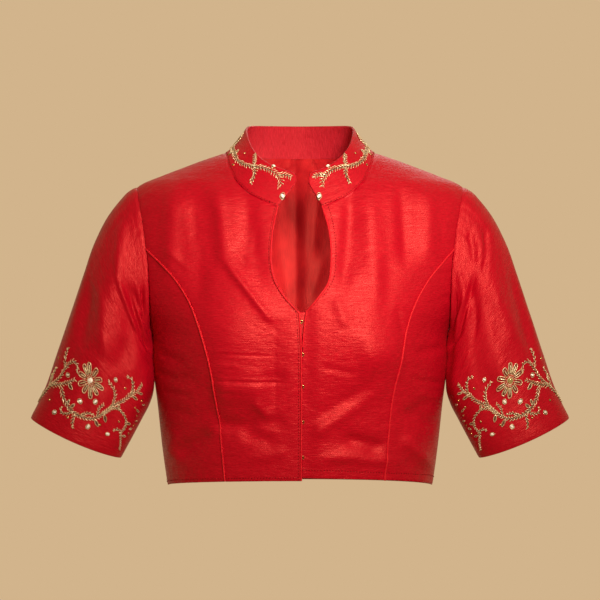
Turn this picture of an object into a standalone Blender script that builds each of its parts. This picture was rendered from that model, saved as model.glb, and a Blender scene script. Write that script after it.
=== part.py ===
"""Choli blouse: a fitted bodice with a stand collar, a keyhole neck, hooked fronts and half sleeves.

The cloth keeps the hollow shape that it has when it is worn. Each piece that is cut and sewn is one
closed wall, lofted from an outer grid of points to an inner one, so that the edges of neighbouring
pieces stay parallel along their seam.

Metres, +Z up. The front faces -Y and the wearer's right sleeve is at -X. The origin lies midway
between the two points where the neck meets the shoulders, which carry the blouse.
"""

from collections import namedtuple
from math import pi, radians

import bmesh
import bpy
import numpy as np

MM = 0.001

# Cloth, seams and trimmings, in metres.
CLOTH_WALL = 1.2 * MM
LINING_WALL = 1.0 * MM
SEAM_GAP = 0.3 * MM
PIPING_RADIUS = 1.1 * MM
PIPING_RISE = 0.4 * MM
PIPING_STOP = 0.25
LAYER_GAP = 0.4 * MM
UNDERLAP_DROP = 3.2 * MM
UNDERLAP_EDGE = 5.0 * MM
UNDERLAP_REACH = 18.0 * MM
HOOK_WIRE_RADIUS = 0.4 * MM
HOOK_NOSE_RADIUS = 1.5 * MM
HOOK_EYELET_RADIUS = 1.3 * MM
HOOK_LENGTH = 9.0 * MM
HOOK_EYELET_TURN = 240.0
HOOK_EYELET_POINTS = 7
HOOK_NOSE_POINTS = 6
COLLAR_CORNER = 17.0 * MM
COLLAR_SHIFT = 3.0 * MM
COLLAR_SHIFT_SHARE = 0.25

# Counts of cells along each seam. Neighbouring pieces share them, so their edges match.
ROWS_PRINCESS = 19
ROWS_ARMHOLE_UPPER = 7
ROWS_ARMHOLE_LOWER = 6
ROWS_SHOULDER = 8
ROWS_ARMHOLE_BACK = 12
ROWS_SIDE_BACK = 10
ROWS_KEYHOLE = 17
ROWS_FRONT = ROWS_PRINCESS + ROWS_ARMHOLE_UPPER + ROWS_SHOULDER
COLUMNS_FRONT = 9
COLUMNS_BACK = 20
COLUMNS_SIDE = 6
ROWS_SLEEVE = 14
ROWS_COLLAR = 4
CORNER_COLUMNS = 5
FINE = 240
NECK_CROWDING = 1.4
RELAXING_ROUNDS = 60

# Bodice, in millimetres: level, half width, and depth of the front and of the back from the side seam.
Section = namedtuple("Section", "z half_width front back")
TORSO_SECTIONS = [
    Section(-400.0, 151.0, 89.0, 89.0),
    Section(-383.0, 153.5, 91.0, 90.0),
    Section(-340.0, 159.5, 96.0, 93.0),
    Section(-290.0, 165.0, 103.0, 98.0),
    Section(-240.0, 171.0, 110.0, 102.0),
    Section(-204.0, 173.0, 112.0, 103.5),
    Section(-180.0, 185.0, 110.5, 103.0),
    Section(-150.0, 197.0, 106.0, 102.0),
    Section(-110.0, 206.0, 96.0, 99.0),
    Section(-80.0, 207.0, 87.5, 95.5),
    Section(-60.0, 204.0, 80.0, 92.5),
    Section(-48.0, 198.5, 73.5, 90.0),
    Section(-38.0, 188.0, 66.5, 88.0),
    Section(-25.0, 159.5, 56.5, 84.5),
    Section(-16.0, 136.0, 50.0, 81.0),
    Section(-7.0, 112.0, 43.0, 77.5),
    Section(1.5, 86.5, 35.0, 73.0),
]
SHOULDER_TIP_Z = -38.0
UNDERARM_Z = -204.0
NECK_Z = 1.5
HEM_SIDE_Z = -383.0
HEM_RISE = {"right": 11.0, "left": 14.0}

# Armhole seam as it is seen from the front, in millimetres.
Seam = namedtuple("Seam", "x z")
ARMHOLE = [
    Seam(173.0, -204.0),
    Seam(172.2, -196.0),
    Seam(171.5, -180.0),
    Seam(172.0, -153.0),
    Seam(173.5, -130.0),
    Seam(176.3, -105.0),
    Seam(180.0, -80.0),
    Seam(184.0, -60.0),
    Seam(186.0, -50.0),
    Seam(188.0, -38.0),
]
PRINCESS_TOP_Z = -111.0
PRINCESS = {
    "right": [
        Seam(84.6, -373.5),
        Seam(89.8, -316.0),
        Seam(95.0, -264.0),
        Seam(101.6, -226.0),
        Seam(112.0, -194.8),
        Seam(127.0, -165.6),
        Seam(144.9, -140.7),
        Seam(175.5, -111.0),
    ],
    "left": [
        Seam(95.5, -373.0),
        Seam(99.5, -325.0),
        Seam(103.0, -283.0),
        Seam(109.5, -240.5),
        Seam(118.7, -197.0),
        Seam(141.3, -152.0),
        Seam(175.5, -111.0),
    ],
}
# Hooked edges, positive towards each side's own armhole, so the right front reaches past the middle.
FRONT_EDGE = {
    "right": [Seam(-1.2, -372.0), Seam(-1.6, -270.0), Seam(-0.8, -214.0), Seam(0.8, -184.0)],
    "left": [
        Seam(2.6, -369.0),
        Seam(2.4, -262.0),
        Seam(2.9, -226.0),
        Seam(4.2, -208.0),
        Seam(5.4, -196.0),
        Seam(7.4, -182.0),
    ],
}
KEYHOLE = {
    "right": [
        Seam(0.8, -184.0),
        Seam(19.0, -163.5),
        Seam(28.0, -147.7),
        Seam(32.5, -126.4),
        Seam(32.5, -113.0),
        Seam(30.2, -88.4),
        Seam(25.0, -63.0),
    ],
    "left": [
        Seam(7.4, -182.0),
        Seam(20.2, -166.8),
        Seam(31.4, -150.0),
        Seam(34.7, -126.4),
        Seam(34.7, -110.8),
        Seam(32.5, -90.6),
        Seam(25.0, -63.0),
    ],
}

# Neck seam of one front, from the hooked side to the shoulder: degrees round from the front, and level.
NeckPoint = namedtuple("NeckPoint", "degrees z")
NECK_FRONT = [
    NeckPoint(7.2, -63.0),
    NeckPoint(12.0, -56.0),
    NeckPoint(17.1, -47.0),
    NeckPoint(22.5, -35.5),
    NeckPoint(32.6, -20.0),
    NeckPoint(50.0, -6.0),
    NeckPoint(70.0, -0.2),
    NeckPoint(90.0, 1.5),
]

# Top edge of the stand collar, in millimetres, against the share of the half neck seam, 0 at the
# front and 1 at the centre back. The last row lies past it, so that the edge runs on smoothly.
CollarTop = namedtuple("CollarTop", "share x y z")
COLLAR_TOP = [
    CollarTop(0.00, 1.0, -66.0, -27.0),
    CollarTop(0.10, 20.0, -61.5, -21.0),
    CollarTop(0.20, 37.0, -54.0, -13.0),
    CollarTop(0.32, 50.0, -43.0, -2.0),
    CollarTop(0.43, 58.0, -27.0, 10.5),
    CollarTop(0.52, 62.0, -8.0, 22.5),
    CollarTop(0.62, 63.0, 13.0, 31.5),
    CollarTop(0.73, 57.5, 35.0, 35.2),
    CollarTop(0.86, 36.0, 55.0, 36.4),
    CollarTop(1.00, 0.0, 65.5, 36.7),
    CollarTop(1.14, -36.0, 55.0, 36.4),
]

# Sleeve, in millimetres, as it is seen from the front: its outer and its inner outline, from the
# armhole to the cuff, and half its depth against the share of its length.
SLEEVE_OUTER = [
    Seam(188.0, -38.0),
    Seam(199.5, -44.0),
    Seam(208.0, -53.0),
    Seam(222.5, -72.0),
    Seam(236.5, -99.5),
    Seam(249.5, -136.5),
    Seam(265.0, -183.0),
    Seam(280.5, -229.0),
    Seam(296.0, -274.0),
    Seam(311.0, -304.7),
]
SLEEVE_INNER = [
    Seam(173.0, -204.0),
    Seam(173.9, -210.0),
    Seam(174.2, -218.0),
    Seam(173.4, -231.0),
    Seam(171.6, -250.0),
    Seam(169.4, -266.0),
    Seam(170.0, -276.0),
    Seam(174.0, -289.0),
    Seam(182.6, -306.0),
    Seam(206.5, -351.0),
]
SleeveDepth = namedtuple("SleeveDepth", "share half_depth y")
SLEEVE_DEPTH = [
    SleeveDepth(0.0, 51.0, 0.0),
    SleeveDepth(0.2, 53.0, -1.0),
    SleeveDepth(0.4, 51.5, -3.0),
    SleeveDepth(0.6, 48.0, -5.0),
    SleeveDepth(0.8, 43.5, -8.0),
    SleeveDepth(1.0, 39.0, -11.0),
]
CUFF_DROOP = 3.0 * MM
ARMHOLE_EASE = 0.3
SLEEVE_HEAD = 0.15

# Largest folds, in millimetres: a soft ridge, or a trough where its height is negative, from one
# point of the front or back view to another.
Fold = namedtuple("Fold", "x0 z0 x1 z1 width height")
FOLD_TAIL = 0.15
FOLD_EASE = 0.4
FRONT_FOLDS = [
    Fold(-84.0, -120.0, -30.0, -190.0, 9.0, 2.2),
    Fold(-100.0, -60.0, -98.0, -135.0, 12.0, -2.6),
    Fold(-58.0, -62.0, -66.0, -140.0, 9.0, -1.8),
    Fold(-140.0, -70.0, -128.0, -150.0, 13.0, -1.6),
    Fold(64.0, -64.0, 60.0, -140.0, 11.0, -2.6),
    Fold(134.0, -56.0, 122.0, -120.0, 12.0, -2.2),
    Fold(100.0, -120.0, 92.0, -190.0, 10.0, -1.4),
    Fold(-62.0, -303.0, -14.0, -308.0, 10.0, -2.2),
    Fold(10.0, -306.0, 88.0, -262.0, 10.0, -2.0),
    Fold(48.0, -322.0, 92.0, -342.0, 9.0, -2.2),
    Fold(18.0, -352.0, 84.0, -330.0, 9.0, 1.4),
    Fold(-134.0, -345.0, -100.0, -318.0, 9.0, -2.4),
    Fold(-148.0, -352.0, -140.0, -318.0, 7.0, 2.0),
    Fold(120.0, -320.0, 144.0, -356.0, 8.0, 2.2),
    Fold(112.0, -300.0, 150.0, -286.0, 8.0, -1.8),
    Fold(-112.0, -262.0, -162.0, -250.0, 8.0, -1.6),
    Fold(-95.0, -256.0, -2.0, -257.5, 6.0, -1.2),
]
BACK_FOLDS = [
    Fold(-70.0, -40.0, -88.0, -130.0, 13.0, -2.4),
    Fold(82.0, -44.0, 70.0, -118.0, 12.0, -2.0),
    Fold(-150.0, -230.0, -60.0, -262.0, 11.0, 2.2),
    Fold(148.0, -222.0, 76.0, -270.0, 10.0, 2.0),
    Fold(-130.0, -330.0, -44.0, -306.0, 10.0, -2.2),
    Fold(40.0, -318.0, 128.0, -344.0, 11.0, -2.4),
    Fold(-30.0, -352.0, 58.0, -360.0, 9.0, 1.4),
]
BUST_CENTRE = Seam(82.0, -214.0)
BUST_SPREAD = Seam(44.0, 52.0)
BUST_RISE = 11.0
SIDE_FADE = 0.45

# Folds of a sleeve: degrees round it from its outer line, past its front at 90, and shares of its
# length, then half width in degrees and height in millimetres.
SleeveFold = namedtuple("SleeveFold", "degrees0 share0 degrees1 share1 width height")
SLEEVE_FOLDS = {
    "right": [
        SleeveFold(66.0, 0.05, 84.0, 0.62, 15.0, 2.4),
        SleeveFold(104.0, 0.12, 122.0, 0.86, 13.0, -3.0),
        SleeveFold(140.0, 0.10, 146.0, 0.70, 12.0, 2.2),
        SleeveFold(163.0, 0.03, 166.0, 0.40, 11.0, 2.8),
        SleeveFold(40.0, 0.42, 58.0, 0.95, 13.0, -2.0),
        SleeveFold(238.0, 0.08, 222.0, 0.72, 14.0, -3.0),
        SleeveFold(282.0, 0.15, 266.0, 0.88, 15.0, 2.4),
    ],
    "left": [
        SleeveFold(62.0, 0.08, 88.0, 0.70, 14.0, 2.4),
        SleeveFold(100.0, 0.10, 114.0, 0.80, 12.0, -2.8),
        SleeveFold(136.0, 0.14, 148.0, 0.64, 12.0, 2.4),
        SleeveFold(162.0, 0.04, 166.0, 0.38, 11.0, 2.6),
        SleeveFold(30.0, 0.50, 52.0, 0.96, 12.0, -1.8),
        SleeveFold(232.0, 0.12, 226.0, 0.66, 13.0, -2.6),
        SleeveFold(290.0, 0.10, 262.0, 0.80, 14.0, 2.2),
    ],
}

# Underlap that carries the thread eyes, and the hooks with the reach of their noses, in millimetres.
PLACKET_INNER_X = -12.0
PLACKET_OUTER_X = 17.0
PLACKET_COLUMNS = 3
PIPING_UNDERLAP_Z = -223.0
FACING_EDGE = 6.0
FACING_EASE = 16.0
Hook = namedtuple("Hook", "z nose_x")
HOOKS = [
    Hook(-193.0, 3.4),
    Hook(-230.0, 4.6),
    Hook(-266.0, 4.6),
    Hook(-306.0, 4.6),
    Hook(-346.0, 4.6),
]

# Lining of the back: drawn in from the seams, and slack between them.
LINING_INSET = 3.0 * MM
LINING_SLACK = 2.8 * MM
LINING_STEP = 2

SIDE_SIGN = {"right": -1.0, "left": 1.0}


class Track:
    """A smooth curve through a table's rows, one value or one row of values for each knot."""

    def __init__(self, knots, values):
        self.knots = np.asarray(knots, dtype=float)
        self.values = np.asarray(values, dtype=float)
        self.slopes = np.gradient(self.values, self.knots, axis=0)

    def __call__(self, at):
        at = np.clip(np.asarray(at, dtype=float), self.knots[0], self.knots[-1])
        low = np.clip(np.searchsorted(self.knots, at) - 1, 0, len(self.knots) - 2)
        span = self.knots[low + 1] - self.knots[low]
        share = (at - self.knots[low]) / span
        if self.values.ndim > 1:
            span = span[..., None]
            share = share[..., None]
        blend = share * share * (3.0 - 2.0 * share)
        start = share * (1.0 - share) ** 2 * span * self.slopes[low]
        end = share * share * (share - 1.0) * span * self.slopes[low + 1]
        return self.values[low] * (1.0 - blend) + self.values[low + 1] * blend + start + end


def smooth(share):
    """Ease from 0 to 1 as the share goes from 0 to 1."""
    share = np.clip(share, 0.0, 1.0)
    return share * share * (3.0 - 2.0 * share)


def lengths_along(points):
    """Distance along a line of points, 0 at its first point."""
    steps = np.linalg.norm(np.diff(points, axis=0), axis=1)
    return np.concatenate([[0.0], np.cumsum(steps)])


def section_track():
    """The bodice's sections against the distance along its side outline, which is a point's level."""
    rows = np.array(TORSO_SECTIONS) * MM
    return Track(lengths_along(rows[:, [0, 1]]), rows)


TORSO = section_track()
LEVELS = np.linspace(TORSO.knots[0], TORSO.knots[-1], 2000)
LEVEL_HEIGHTS = TORSO(LEVELS)[:, 0]


def level_at(height):
    """The level of a height above the origin."""
    return np.interp(height, LEVEL_HEIGHTS, LEVELS)


def torso_base(angle, level):
    """A point of the bodice without its folds. The angle is 0 at the centre front, 90 degrees at +X."""
    height, half_width, front, back = np.moveaxis(TORSO(level), -1, 0)
    depth = np.where(np.cos(angle) >= 0.0, front, back)
    return np.stack([half_width * np.sin(angle), -depth * np.cos(angle), height], axis=-1)


def torso_slopes(angle, level, step=1e-4):
    """How a point of the bodice moves for each radian round it and each metre up it."""
    round_it = torso_base(angle + step, level) - torso_base(angle - step, level)
    up_it = torso_base(angle, level + step) - torso_base(angle, level - step)
    return np.stack([round_it, up_it], axis=-2) / (2.0 * step)


def torso_normal(angle, level):
    """The bodice's outward direction."""
    slopes = torso_slopes(angle, level)
    normal = np.cross(slopes[..., 0, :], slopes[..., 1, :])
    return normal / np.linalg.norm(normal, axis=-1, keepdims=True)


def fold_ends(along):
    """How a fold rises and dies away along its run, which goes from 0 to 1."""
    return smooth((along + FOLD_TAIL) / FOLD_EASE) * smooth((1.0 + FOLD_TAIL - along) / FOLD_EASE)


def fold_heights(x, z, folds):
    """The height of a table's folds at points of the front or back view, in metres."""
    total = np.zeros_like(x)
    for fold in folds:
        start = np.array([fold.x0, fold.z0]) * MM
        run = np.array([fold.x1, fold.z1]) * MM - start
        length = np.hypot(*run)
        along = ((x - start[0]) * run[0] + (z - start[1]) * run[1]) / length**2
        across = ((x - start[0]) * run[1] - (z - start[1]) * run[0]) / length
        across = across / (fold.width * MM)
        total += fold.height * MM * fold_ends(along) * np.exp(-(across**2))
    return total


def torso_relief(angle, base, underlap=False):
    """How far the bodice's bust, folds and underlap stand from its base, in metres.

    The facings keep the hooked edges free of folds.
    """
    x, z = base[..., 0], base[..., 2]
    bust = ((np.abs(x) - BUST_CENTRE.x * MM) / (BUST_SPREAD.x * MM)) ** 2
    bust = bust + ((z - BUST_CENTRE.z * MM) / (BUST_SPREAD.z * MM)) ** 2
    loose = smooth((np.abs(x) - FACING_EDGE * MM) / (FACING_EASE * MM))
    front = BUST_RISE * MM * np.exp(-bust) + fold_heights(x, z, FRONT_FOLDS) * loose
    if underlap:
        reach = smooth(1.0 - (x - UNDERLAP_EDGE) / UNDERLAP_REACH)
        closed = smooth((KEYHOLE["left"][1].z * MM - z) / UNDERLAP_REACH)
        front = front - UNDERLAP_DROP * reach * closed
    back = fold_heights(x, z, BACK_FOLDS)
    facing = smooth(np.abs(np.cos(angle)) / SIDE_FADE)
    return np.where(np.cos(angle) >= 0.0, front, back) * facing


def torso_point(angle, level, rise=0.0, underlap=False):
    """A point of the bodice's outer face, moved out by a rise, or in where it is negative."""
    base = torso_base(angle, level)
    offset = torso_relief(angle, base, underlap) + rise
    return base + torso_normal(angle, level) * offset[..., None]


def angle_of(x, level):
    """The angle of a point of the front from its distance to the middle plane."""
    half_width = TORSO(level)[..., 1]
    return np.arcsin(np.clip(x / half_width, -1.0, 1.0))


def evenly(places, count, crowding=1.0):
    """Pick count + 1 places over the bodice along a fine line of (angle, level).

    They are evenly spaced, or closer together at the line's start where crowding is over 1.
    """
    travelled = lengths_along(torso_base(places[:, 0], places[:, 1]))
    wanted = travelled[-1] * np.linspace(0.0, 1.0, count + 1) ** crowding
    return np.stack([np.interp(wanted, travelled, places[:, k]) for k in (0, 1)], axis=-1)


def seam_places(rows, side, count):
    """Places along a seam that a table gives as seen from the front."""
    rows = np.array(rows) * MM
    seam = Track(lengths_along(rows), rows)(np.linspace(0.0, lengths_along(rows)[-1], FINE))
    level = level_at(seam[:, 1])
    return evenly(np.stack([angle_of(SIDE_SIGN[side] * seam[:, 0], level), level], axis=-1), count)


def armhole_places(side, low, high, count, behind=False):
    """Places along the armhole between two heights in millimetres, on the front or on the back."""
    turn = np.linspace(0.0, pi, 4 * FINE)
    height = UNDERARM_Z + (SHOULDER_TIP_Z - UNDERARM_Z) * (1.0 - np.cos(turn)) / 2.0
    height = np.unique(np.clip(height, low, high)) * MM
    rows = np.array(ARMHOLE) * MM
    level = level_at(height)
    angle = angle_of(Track(rows[:, 1], rows[:, 0])(height), level)
    angle[height <= (UNDERARM_Z + 1e-6) * MM] = pi / 2.0
    angle[height >= (SHOULDER_TIP_Z - 1e-6) * MM] = pi / 2.0
    angle = pi - angle if behind else angle
    return evenly(np.stack([SIDE_SIGN[side] * angle, level], axis=-1), count)


def hem_places(side, start, end, count):
    """Places along the hem from one angle to another. The hem rises a little towards the middle."""
    angle = np.linspace(start, end, FINE)
    height = HEM_SIDE_Z + HEM_RISE[side] * np.clip(np.cos(angle), 0.0, 1.0)
    return evenly(np.stack([angle, level_at(height * MM)], axis=-1), count)


def shoulder_places(side):
    """Places along the shoulder seam, from the armhole to the neck."""
    level = np.linspace(level_at(SHOULDER_TIP_Z * MM), level_at(NECK_Z * MM), FINE)
    angle = np.full_like(level, SIDE_SIGN[side] * pi / 2.0)
    return evenly(np.stack([angle, level], axis=-1), ROWS_SHOULDER)


def neck_front_places(side):
    """Places along one front's neck seam, from the hooked side, where they crowd, to the shoulder."""
    rows = np.array(NECK_FRONT)
    track = Track(np.arange(len(rows)), rows)(np.linspace(0.0, len(rows) - 1.0, FINE))
    angle = SIDE_SIGN[side] * np.radians(track[:, 0])
    places = np.stack([angle, level_at(track[:, 1] * MM)], axis=-1)
    return evenly(places, COLUMNS_FRONT, crowding=NECK_CROWDING)


def neck_back_places():
    """Places along the back's neck seam, from the wearer's left shoulder to the right."""
    angle = np.linspace(pi / 2.0, 3.0 * pi / 2.0, FINE)
    return evenly(np.stack([angle, np.full_like(angle, TORSO.knots[-1])], axis=-1), COLUMNS_BACK)


def patch(bottom, top, left, right):
    """Fill the space between four lines of places, which share their corners, with a grid."""
    across = np.linspace(0.0, 1.0, len(bottom))[:, None]
    up = np.linspace(0.0, 1.0, len(left))[:, None, None]
    low = bottom - bottom[0] * (1.0 - across) - bottom[-1] * across
    high = top - top[0] * (1.0 - across) - top[-1] * across
    return left[:, None] * (1.0 - across) + right[:, None] * across + low * (1.0 - up) + high * up


def front_patch(bottom, top, left, right):
    """Fill the space between four lines of places as it is seen from the front."""
    view = patch(*(torso_base(line[:, 0], line[:, 1])[:, ::2] for line in (bottom, top, left, right)))
    level = level_at(view[..., 1])
    places = np.stack([angle_of(view[..., 0], level), level], axis=-1)
    places[0], places[-1], places[:, 0], places[:, -1] = bottom, top, left, right
    return places


def even_out(places):
    """Draw a grid's inner places towards the middle of their neighbours, along the bodice."""
    for _ in range(RELAXING_ROUNDS):
        points = torso_base(places[..., 0], places[..., 1])
        around = points[:-2, 1:-1] + points[2:, 1:-1] + points[1:-1, :-2] + points[1:-1, 2:]
        pull = around / 4.0 - points[1:-1, 1:-1]
        slopes = torso_slopes(places[1:-1, 1:-1, 0], places[1:-1, 1:-1, 1])
        moved = np.linalg.solve(slopes @ np.swapaxes(slopes, -1, -2), slopes @ pull[..., None])
        places[1:-1, 1:-1] += moved[..., 0]
    return places


def edge_inward(edge, beside):
    """Directions from an edge into the cloth, square to the edge, by the line of points beside it."""
    run = np.gradient(edge, axis=0)
    run = run / np.linalg.norm(run, axis=-1, keepdims=True)
    inward = beside - edge
    inward = inward - run * np.sum(inward * run, axis=-1, keepdims=True)
    return inward / np.linalg.norm(inward, axis=-1, keepdims=True)


def inset_edges(outer, inner, bottom=0.0, top=0.0, left=0.0, right=0.0):
    """Draw a wall's edges back from its seams, within the cloth, by a distance for each edge."""
    rows, columns = outer.shape[:2]
    moves = np.zeros_like(outer)
    level = {0: (edge_inward(outer[0], outer[1]), np.broadcast_to(bottom, columns)),
             -1: (edge_inward(outer[-1], outer[-2]), np.broadcast_to(top, columns))}
    upright = {0: (edge_inward(outer[:, 0], outer[:, 1]), np.broadcast_to(left, rows)),
               -1: (edge_inward(outer[:, -1], outer[:, -2]), np.broadcast_to(right, rows))}
    for row, (inward, distance) in level.items():
        moves[row] = inward * distance[:, None]
    for column, (inward, distance) in upright.items():
        moves[:, column] = inward * distance[:, None]
    for row in level:
        for column in upright:
            ways = np.stack([level[row][0][column], upright[column][0][row]])
            kept = np.array([level[row][1][column], upright[column][1][row]])
            moves[row, column] = np.linalg.solve(ways @ ways.T, kept) @ ways
    return outer + moves, inner + moves


def grid_normals(grid, closed):
    """Outward directions of a grid of points whose columns run round the piece and rows along it."""
    if closed:
        round_it = np.roll(grid, -1, axis=1) - np.roll(grid, 1, axis=1)
    else:
        round_it = np.gradient(grid, axis=1)
    normal = np.cross(round_it, np.gradient(grid, axis=0))
    return normal / np.linalg.norm(normal, axis=-1, keepdims=True)


def make_material(name, colour, roughness, metallic=0.0):
    """A plain finish."""
    material = bpy.data.materials.new(name)
    material.use_nodes = True
    shader = material.node_tree.nodes["Principled BSDF"]
    shader.inputs["Base Color"].default_value = (*colour, 1.0)
    shader.inputs["Roughness"].default_value = roughness
    shader.inputs["Metallic"].default_value = metallic
    return material


def make_wall(name, outer, inner, material, closed=False):
    """Join an outer and an inner grid of points into one closed wall, its cells cut the short way."""
    rows, columns = outer.shape[:2]
    body = bmesh.new()
    front, rear = ([[body.verts.new(point) for point in row] for row in grid] for grid in (outer, inner))
    for column in range(columns if closed else columns - 1):
        beside = (column + 1) % columns
        for row in range(rows - 1):
            cell = [(row, column), (row, beside), (row + 1, beside), (row + 1, column)]
            places = [front[at][along].co for at, along in cell]
            if (places[0] - places[2]).length > (places[1] - places[3]).length:
                cell = cell[1:] + cell[:1]
            for triangle in ((cell[0], cell[1], cell[2]), (cell[2], cell[3], cell[0])):
                body.faces.new([front[at][along] for at, along in triangle])
                body.faces.new([rear[at][along] for at, along in reversed(triangle)])
        for edge in (0, -1):
            body.faces.new((front[edge][column], rear[edge][column],
                            rear[edge][beside], front[edge][beside]))
    if not closed:
        for edge in (0, -1):
            for row in range(rows - 1):
                body.faces.new((front[row][edge], front[row + 1][edge],
                                rear[row + 1][edge], rear[row][edge]))
    bmesh.ops.recalc_face_normals(body, faces=body.faces)
    bmesh.ops.triangulate(body, faces=body.faces)
    mesh = bpy.data.meshes.new(name)
    body.to_mesh(mesh)
    body.free()
    mesh.shade_smooth()
    mesh.set_sharp_from_angle(angle=radians(40.0))
    return place_object(name, mesh, material)


def place_object(name, data, material):
    """Put a mesh or a curve in the blouse's collection."""
    piece = bpy.data.objects.new(name, data)
    data.materials.append(material)
    bpy.data.collections["choli_blouse"].objects.link(piece)
    return piece


def make_tube(name, points, radius, material, sides=6):
    """A piping or a wire of one thickness along a line of points."""
    curve = bpy.data.curves.new(name, "CURVE")
    curve.dimensions = "3D"
    curve.bevel_depth = radius
    curve.bevel_resolution = sides // 2 - 2
    curve.use_fill_caps = True
    spline = curve.splines.new("POLY")
    spline.points.add(len(points) - 1)
    for spot, point in zip(spline.points, points):
        spot.co = (*point, 1.0)
    return place_object(name, curve, material)


def torso_wall(name, places, material, underlap=False, **insets):
    """A wall of the bodice over a grid of places, with its edges drawn back by the insets."""
    angle, level = places[..., 0], places[..., 1]
    outer = torso_point(angle, level, underlap=underlap)
    inner = torso_point(angle, level, -CLOTH_WALL, underlap)
    outer, inner = inset_edges(outer, inner, **insets)
    return make_wall(name, outer, inner, material)


def front_edge_places(side):
    """Places up a front's hooked edge and then round its half of the keyhole."""
    closed = seam_places(FRONT_EDGE[side], side, ROWS_FRONT - ROWS_KEYHOLE)
    return np.concatenate([closed, seam_places(KEYHOLE[side], side, ROWS_KEYHOLE)[1:]])


def make_front(side, cloth):
    """A centre front, whose rows run from its outer seams to its hooked edge."""
    seam = SEAM_GAP / 2.0
    piped = PIPING_RADIUS + SEAM_GAP
    princess = seam_places(PRINCESS[side], side, ROWS_PRINCESS)
    armhole = armhole_places(side, PRINCESS_TOP_Z, SHOULDER_TIP_Z, ROWS_ARMHOLE_UPPER)
    outer_edge = np.concatenate([princess, armhole[1:], shoulder_places(side)[1:]])
    hooked_edge = front_edge_places(side)
    top = neck_front_places(side)[::-1]
    bottom = hem_places(side, princess[0, 0], hooked_edge[0, 0], COLUMNS_FRONT)
    outer_edge[0], hooked_edge[0] = bottom[0], bottom[-1]
    outer_edge[-1], hooked_edge[-1] = top[0], top[-1]
    places = even_out(front_patch(bottom, top, outer_edge, hooked_edge))
    outer_inset = np.full(ROWS_FRONT + 1, seam)
    outer_inset[:ROWS_PRINCESS + 1] = piped
    if side == "left":
        edge_inset = np.where(hooked_edge[:, 1] > level_at(PIPING_UNDERLAP_Z * MM), piped, 0.0)
        return torso_wall("front_left", places[:, ::-1], cloth, underlap=True,
                          top=seam, left=edge_inset, right=outer_inset)
    return torso_wall("front_right", places, cloth, top=seam, left=outer_inset, right=piped)


def make_side_front(side, cloth):
    """A side front, between the princess seam, the armhole and the side seam."""
    seam = SEAM_GAP / 2.0
    piped = PIPING_RADIUS + SEAM_GAP
    princess = seam_places(PRINCESS[side], side, ROWS_PRINCESS)
    top = armhole_places(side, UNDERARM_Z, PRINCESS_TOP_Z, ROWS_ARMHOLE_LOWER)
    side_angle = SIDE_SIGN[side] * pi / 2.0
    bottom = hem_places(side, side_angle, princess[0, 0], COLUMNS_SIDE)
    level = np.linspace(bottom[0, 1], top[0, 1], ROWS_PRINCESS + 1)
    side_seam = np.stack([np.full_like(level, side_angle), level], axis=-1)
    princess[0], princess[-1] = bottom[-1], top[-1]
    places = patch(bottom, top, side_seam, princess)
    if side == "left":
        return torso_wall("side_front_left", places[:, ::-1], cloth, top=seam, left=piped, right=seam)
    return torso_wall("side_front_right", places, cloth, top=seam, left=seam, right=piped)


def back_edge(side):
    """Places up the back's side seam, its armhole and its shoulder seam."""
    armhole = armhole_places(side, UNDERARM_Z, SHOULDER_TIP_Z, ROWS_ARMHOLE_BACK, behind=True)
    level = np.linspace(level_at(HEM_SIDE_Z * MM), armhole[0, 1], ROWS_SIDE_BACK + 1)
    side_seam = np.stack([np.full_like(level, armhole[0, 0]), level], axis=-1)
    edge = np.concatenate([side_seam, armhole[1:], shoulder_places(side)[1:]])
    if side == "right":
        edge[:, 0] += 2.0 * pi
    return edge


def back_places():
    """The grid of the back, from the wearer's left side to the right."""
    left, right = back_edge("left"), back_edge("right")
    bottom = hem_places("left", left[0, 0], right[0, 0], COLUMNS_BACK)
    return even_out(patch(bottom, neck_back_places(), left, right))


def make_back(cloth):
    """The back, in one piece."""
    seam = SEAM_GAP / 2.0
    return torso_wall("back", back_places(), cloth, top=seam, left=seam, right=seam)


def make_back_lining(satin):
    """The lining inside the back: caught near the seams, slack and free of the cloth's folds between."""
    places = back_places()[::LINING_STEP, ::LINING_STEP]
    angle, level = places[..., 0], places[..., 1]
    rows, columns = angle.shape
    from_edge = np.minimum.outer(np.minimum(np.arange(rows), np.arange(rows)[::-1]),
                                 np.minimum(np.arange(columns), np.arange(columns)[::-1]))
    depth = CLOTH_WALL + LAYER_GAP + LINING_SLACK * smooth(from_edge / LINING_STEP)
    base, normal = torso_base(angle, level), torso_normal(angle, level)
    outer = base - normal * depth[..., None]
    inner = outer - normal * LINING_WALL
    outer, inner = inset_edges(outer, inner, bottom=LINING_INSET, top=LINING_INSET,
                               left=LINING_INSET, right=LINING_INSET)
    return make_wall("back_lining", outer, inner, satin)


def armhole_loop(side):
    """The points of an armhole, from the shoulder down its front and up its back."""
    upper = armhole_places(side, PRINCESS_TOP_Z, SHOULDER_TIP_Z, ROWS_ARMHOLE_UPPER)[::-1]
    lower = armhole_places(side, UNDERARM_Z, PRINCESS_TOP_Z, ROWS_ARMHOLE_LOWER)[::-1]
    back = armhole_places(side, UNDERARM_Z, SHOULDER_TIP_Z, ROWS_ARMHOLE_BACK, behind=True)
    loop = np.concatenate([upper, lower[1:], back[1:-1]])
    return torso_point(loop[:, 0], loop[:, 1])


def outline(rows, count):
    """Points evenly along a sleeve's outline, as x and z."""
    rows = np.array(rows) * MM
    travelled = lengths_along(rows)
    return Track(travelled, rows)(np.linspace(0.0, travelled[-1], count + 1))


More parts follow.
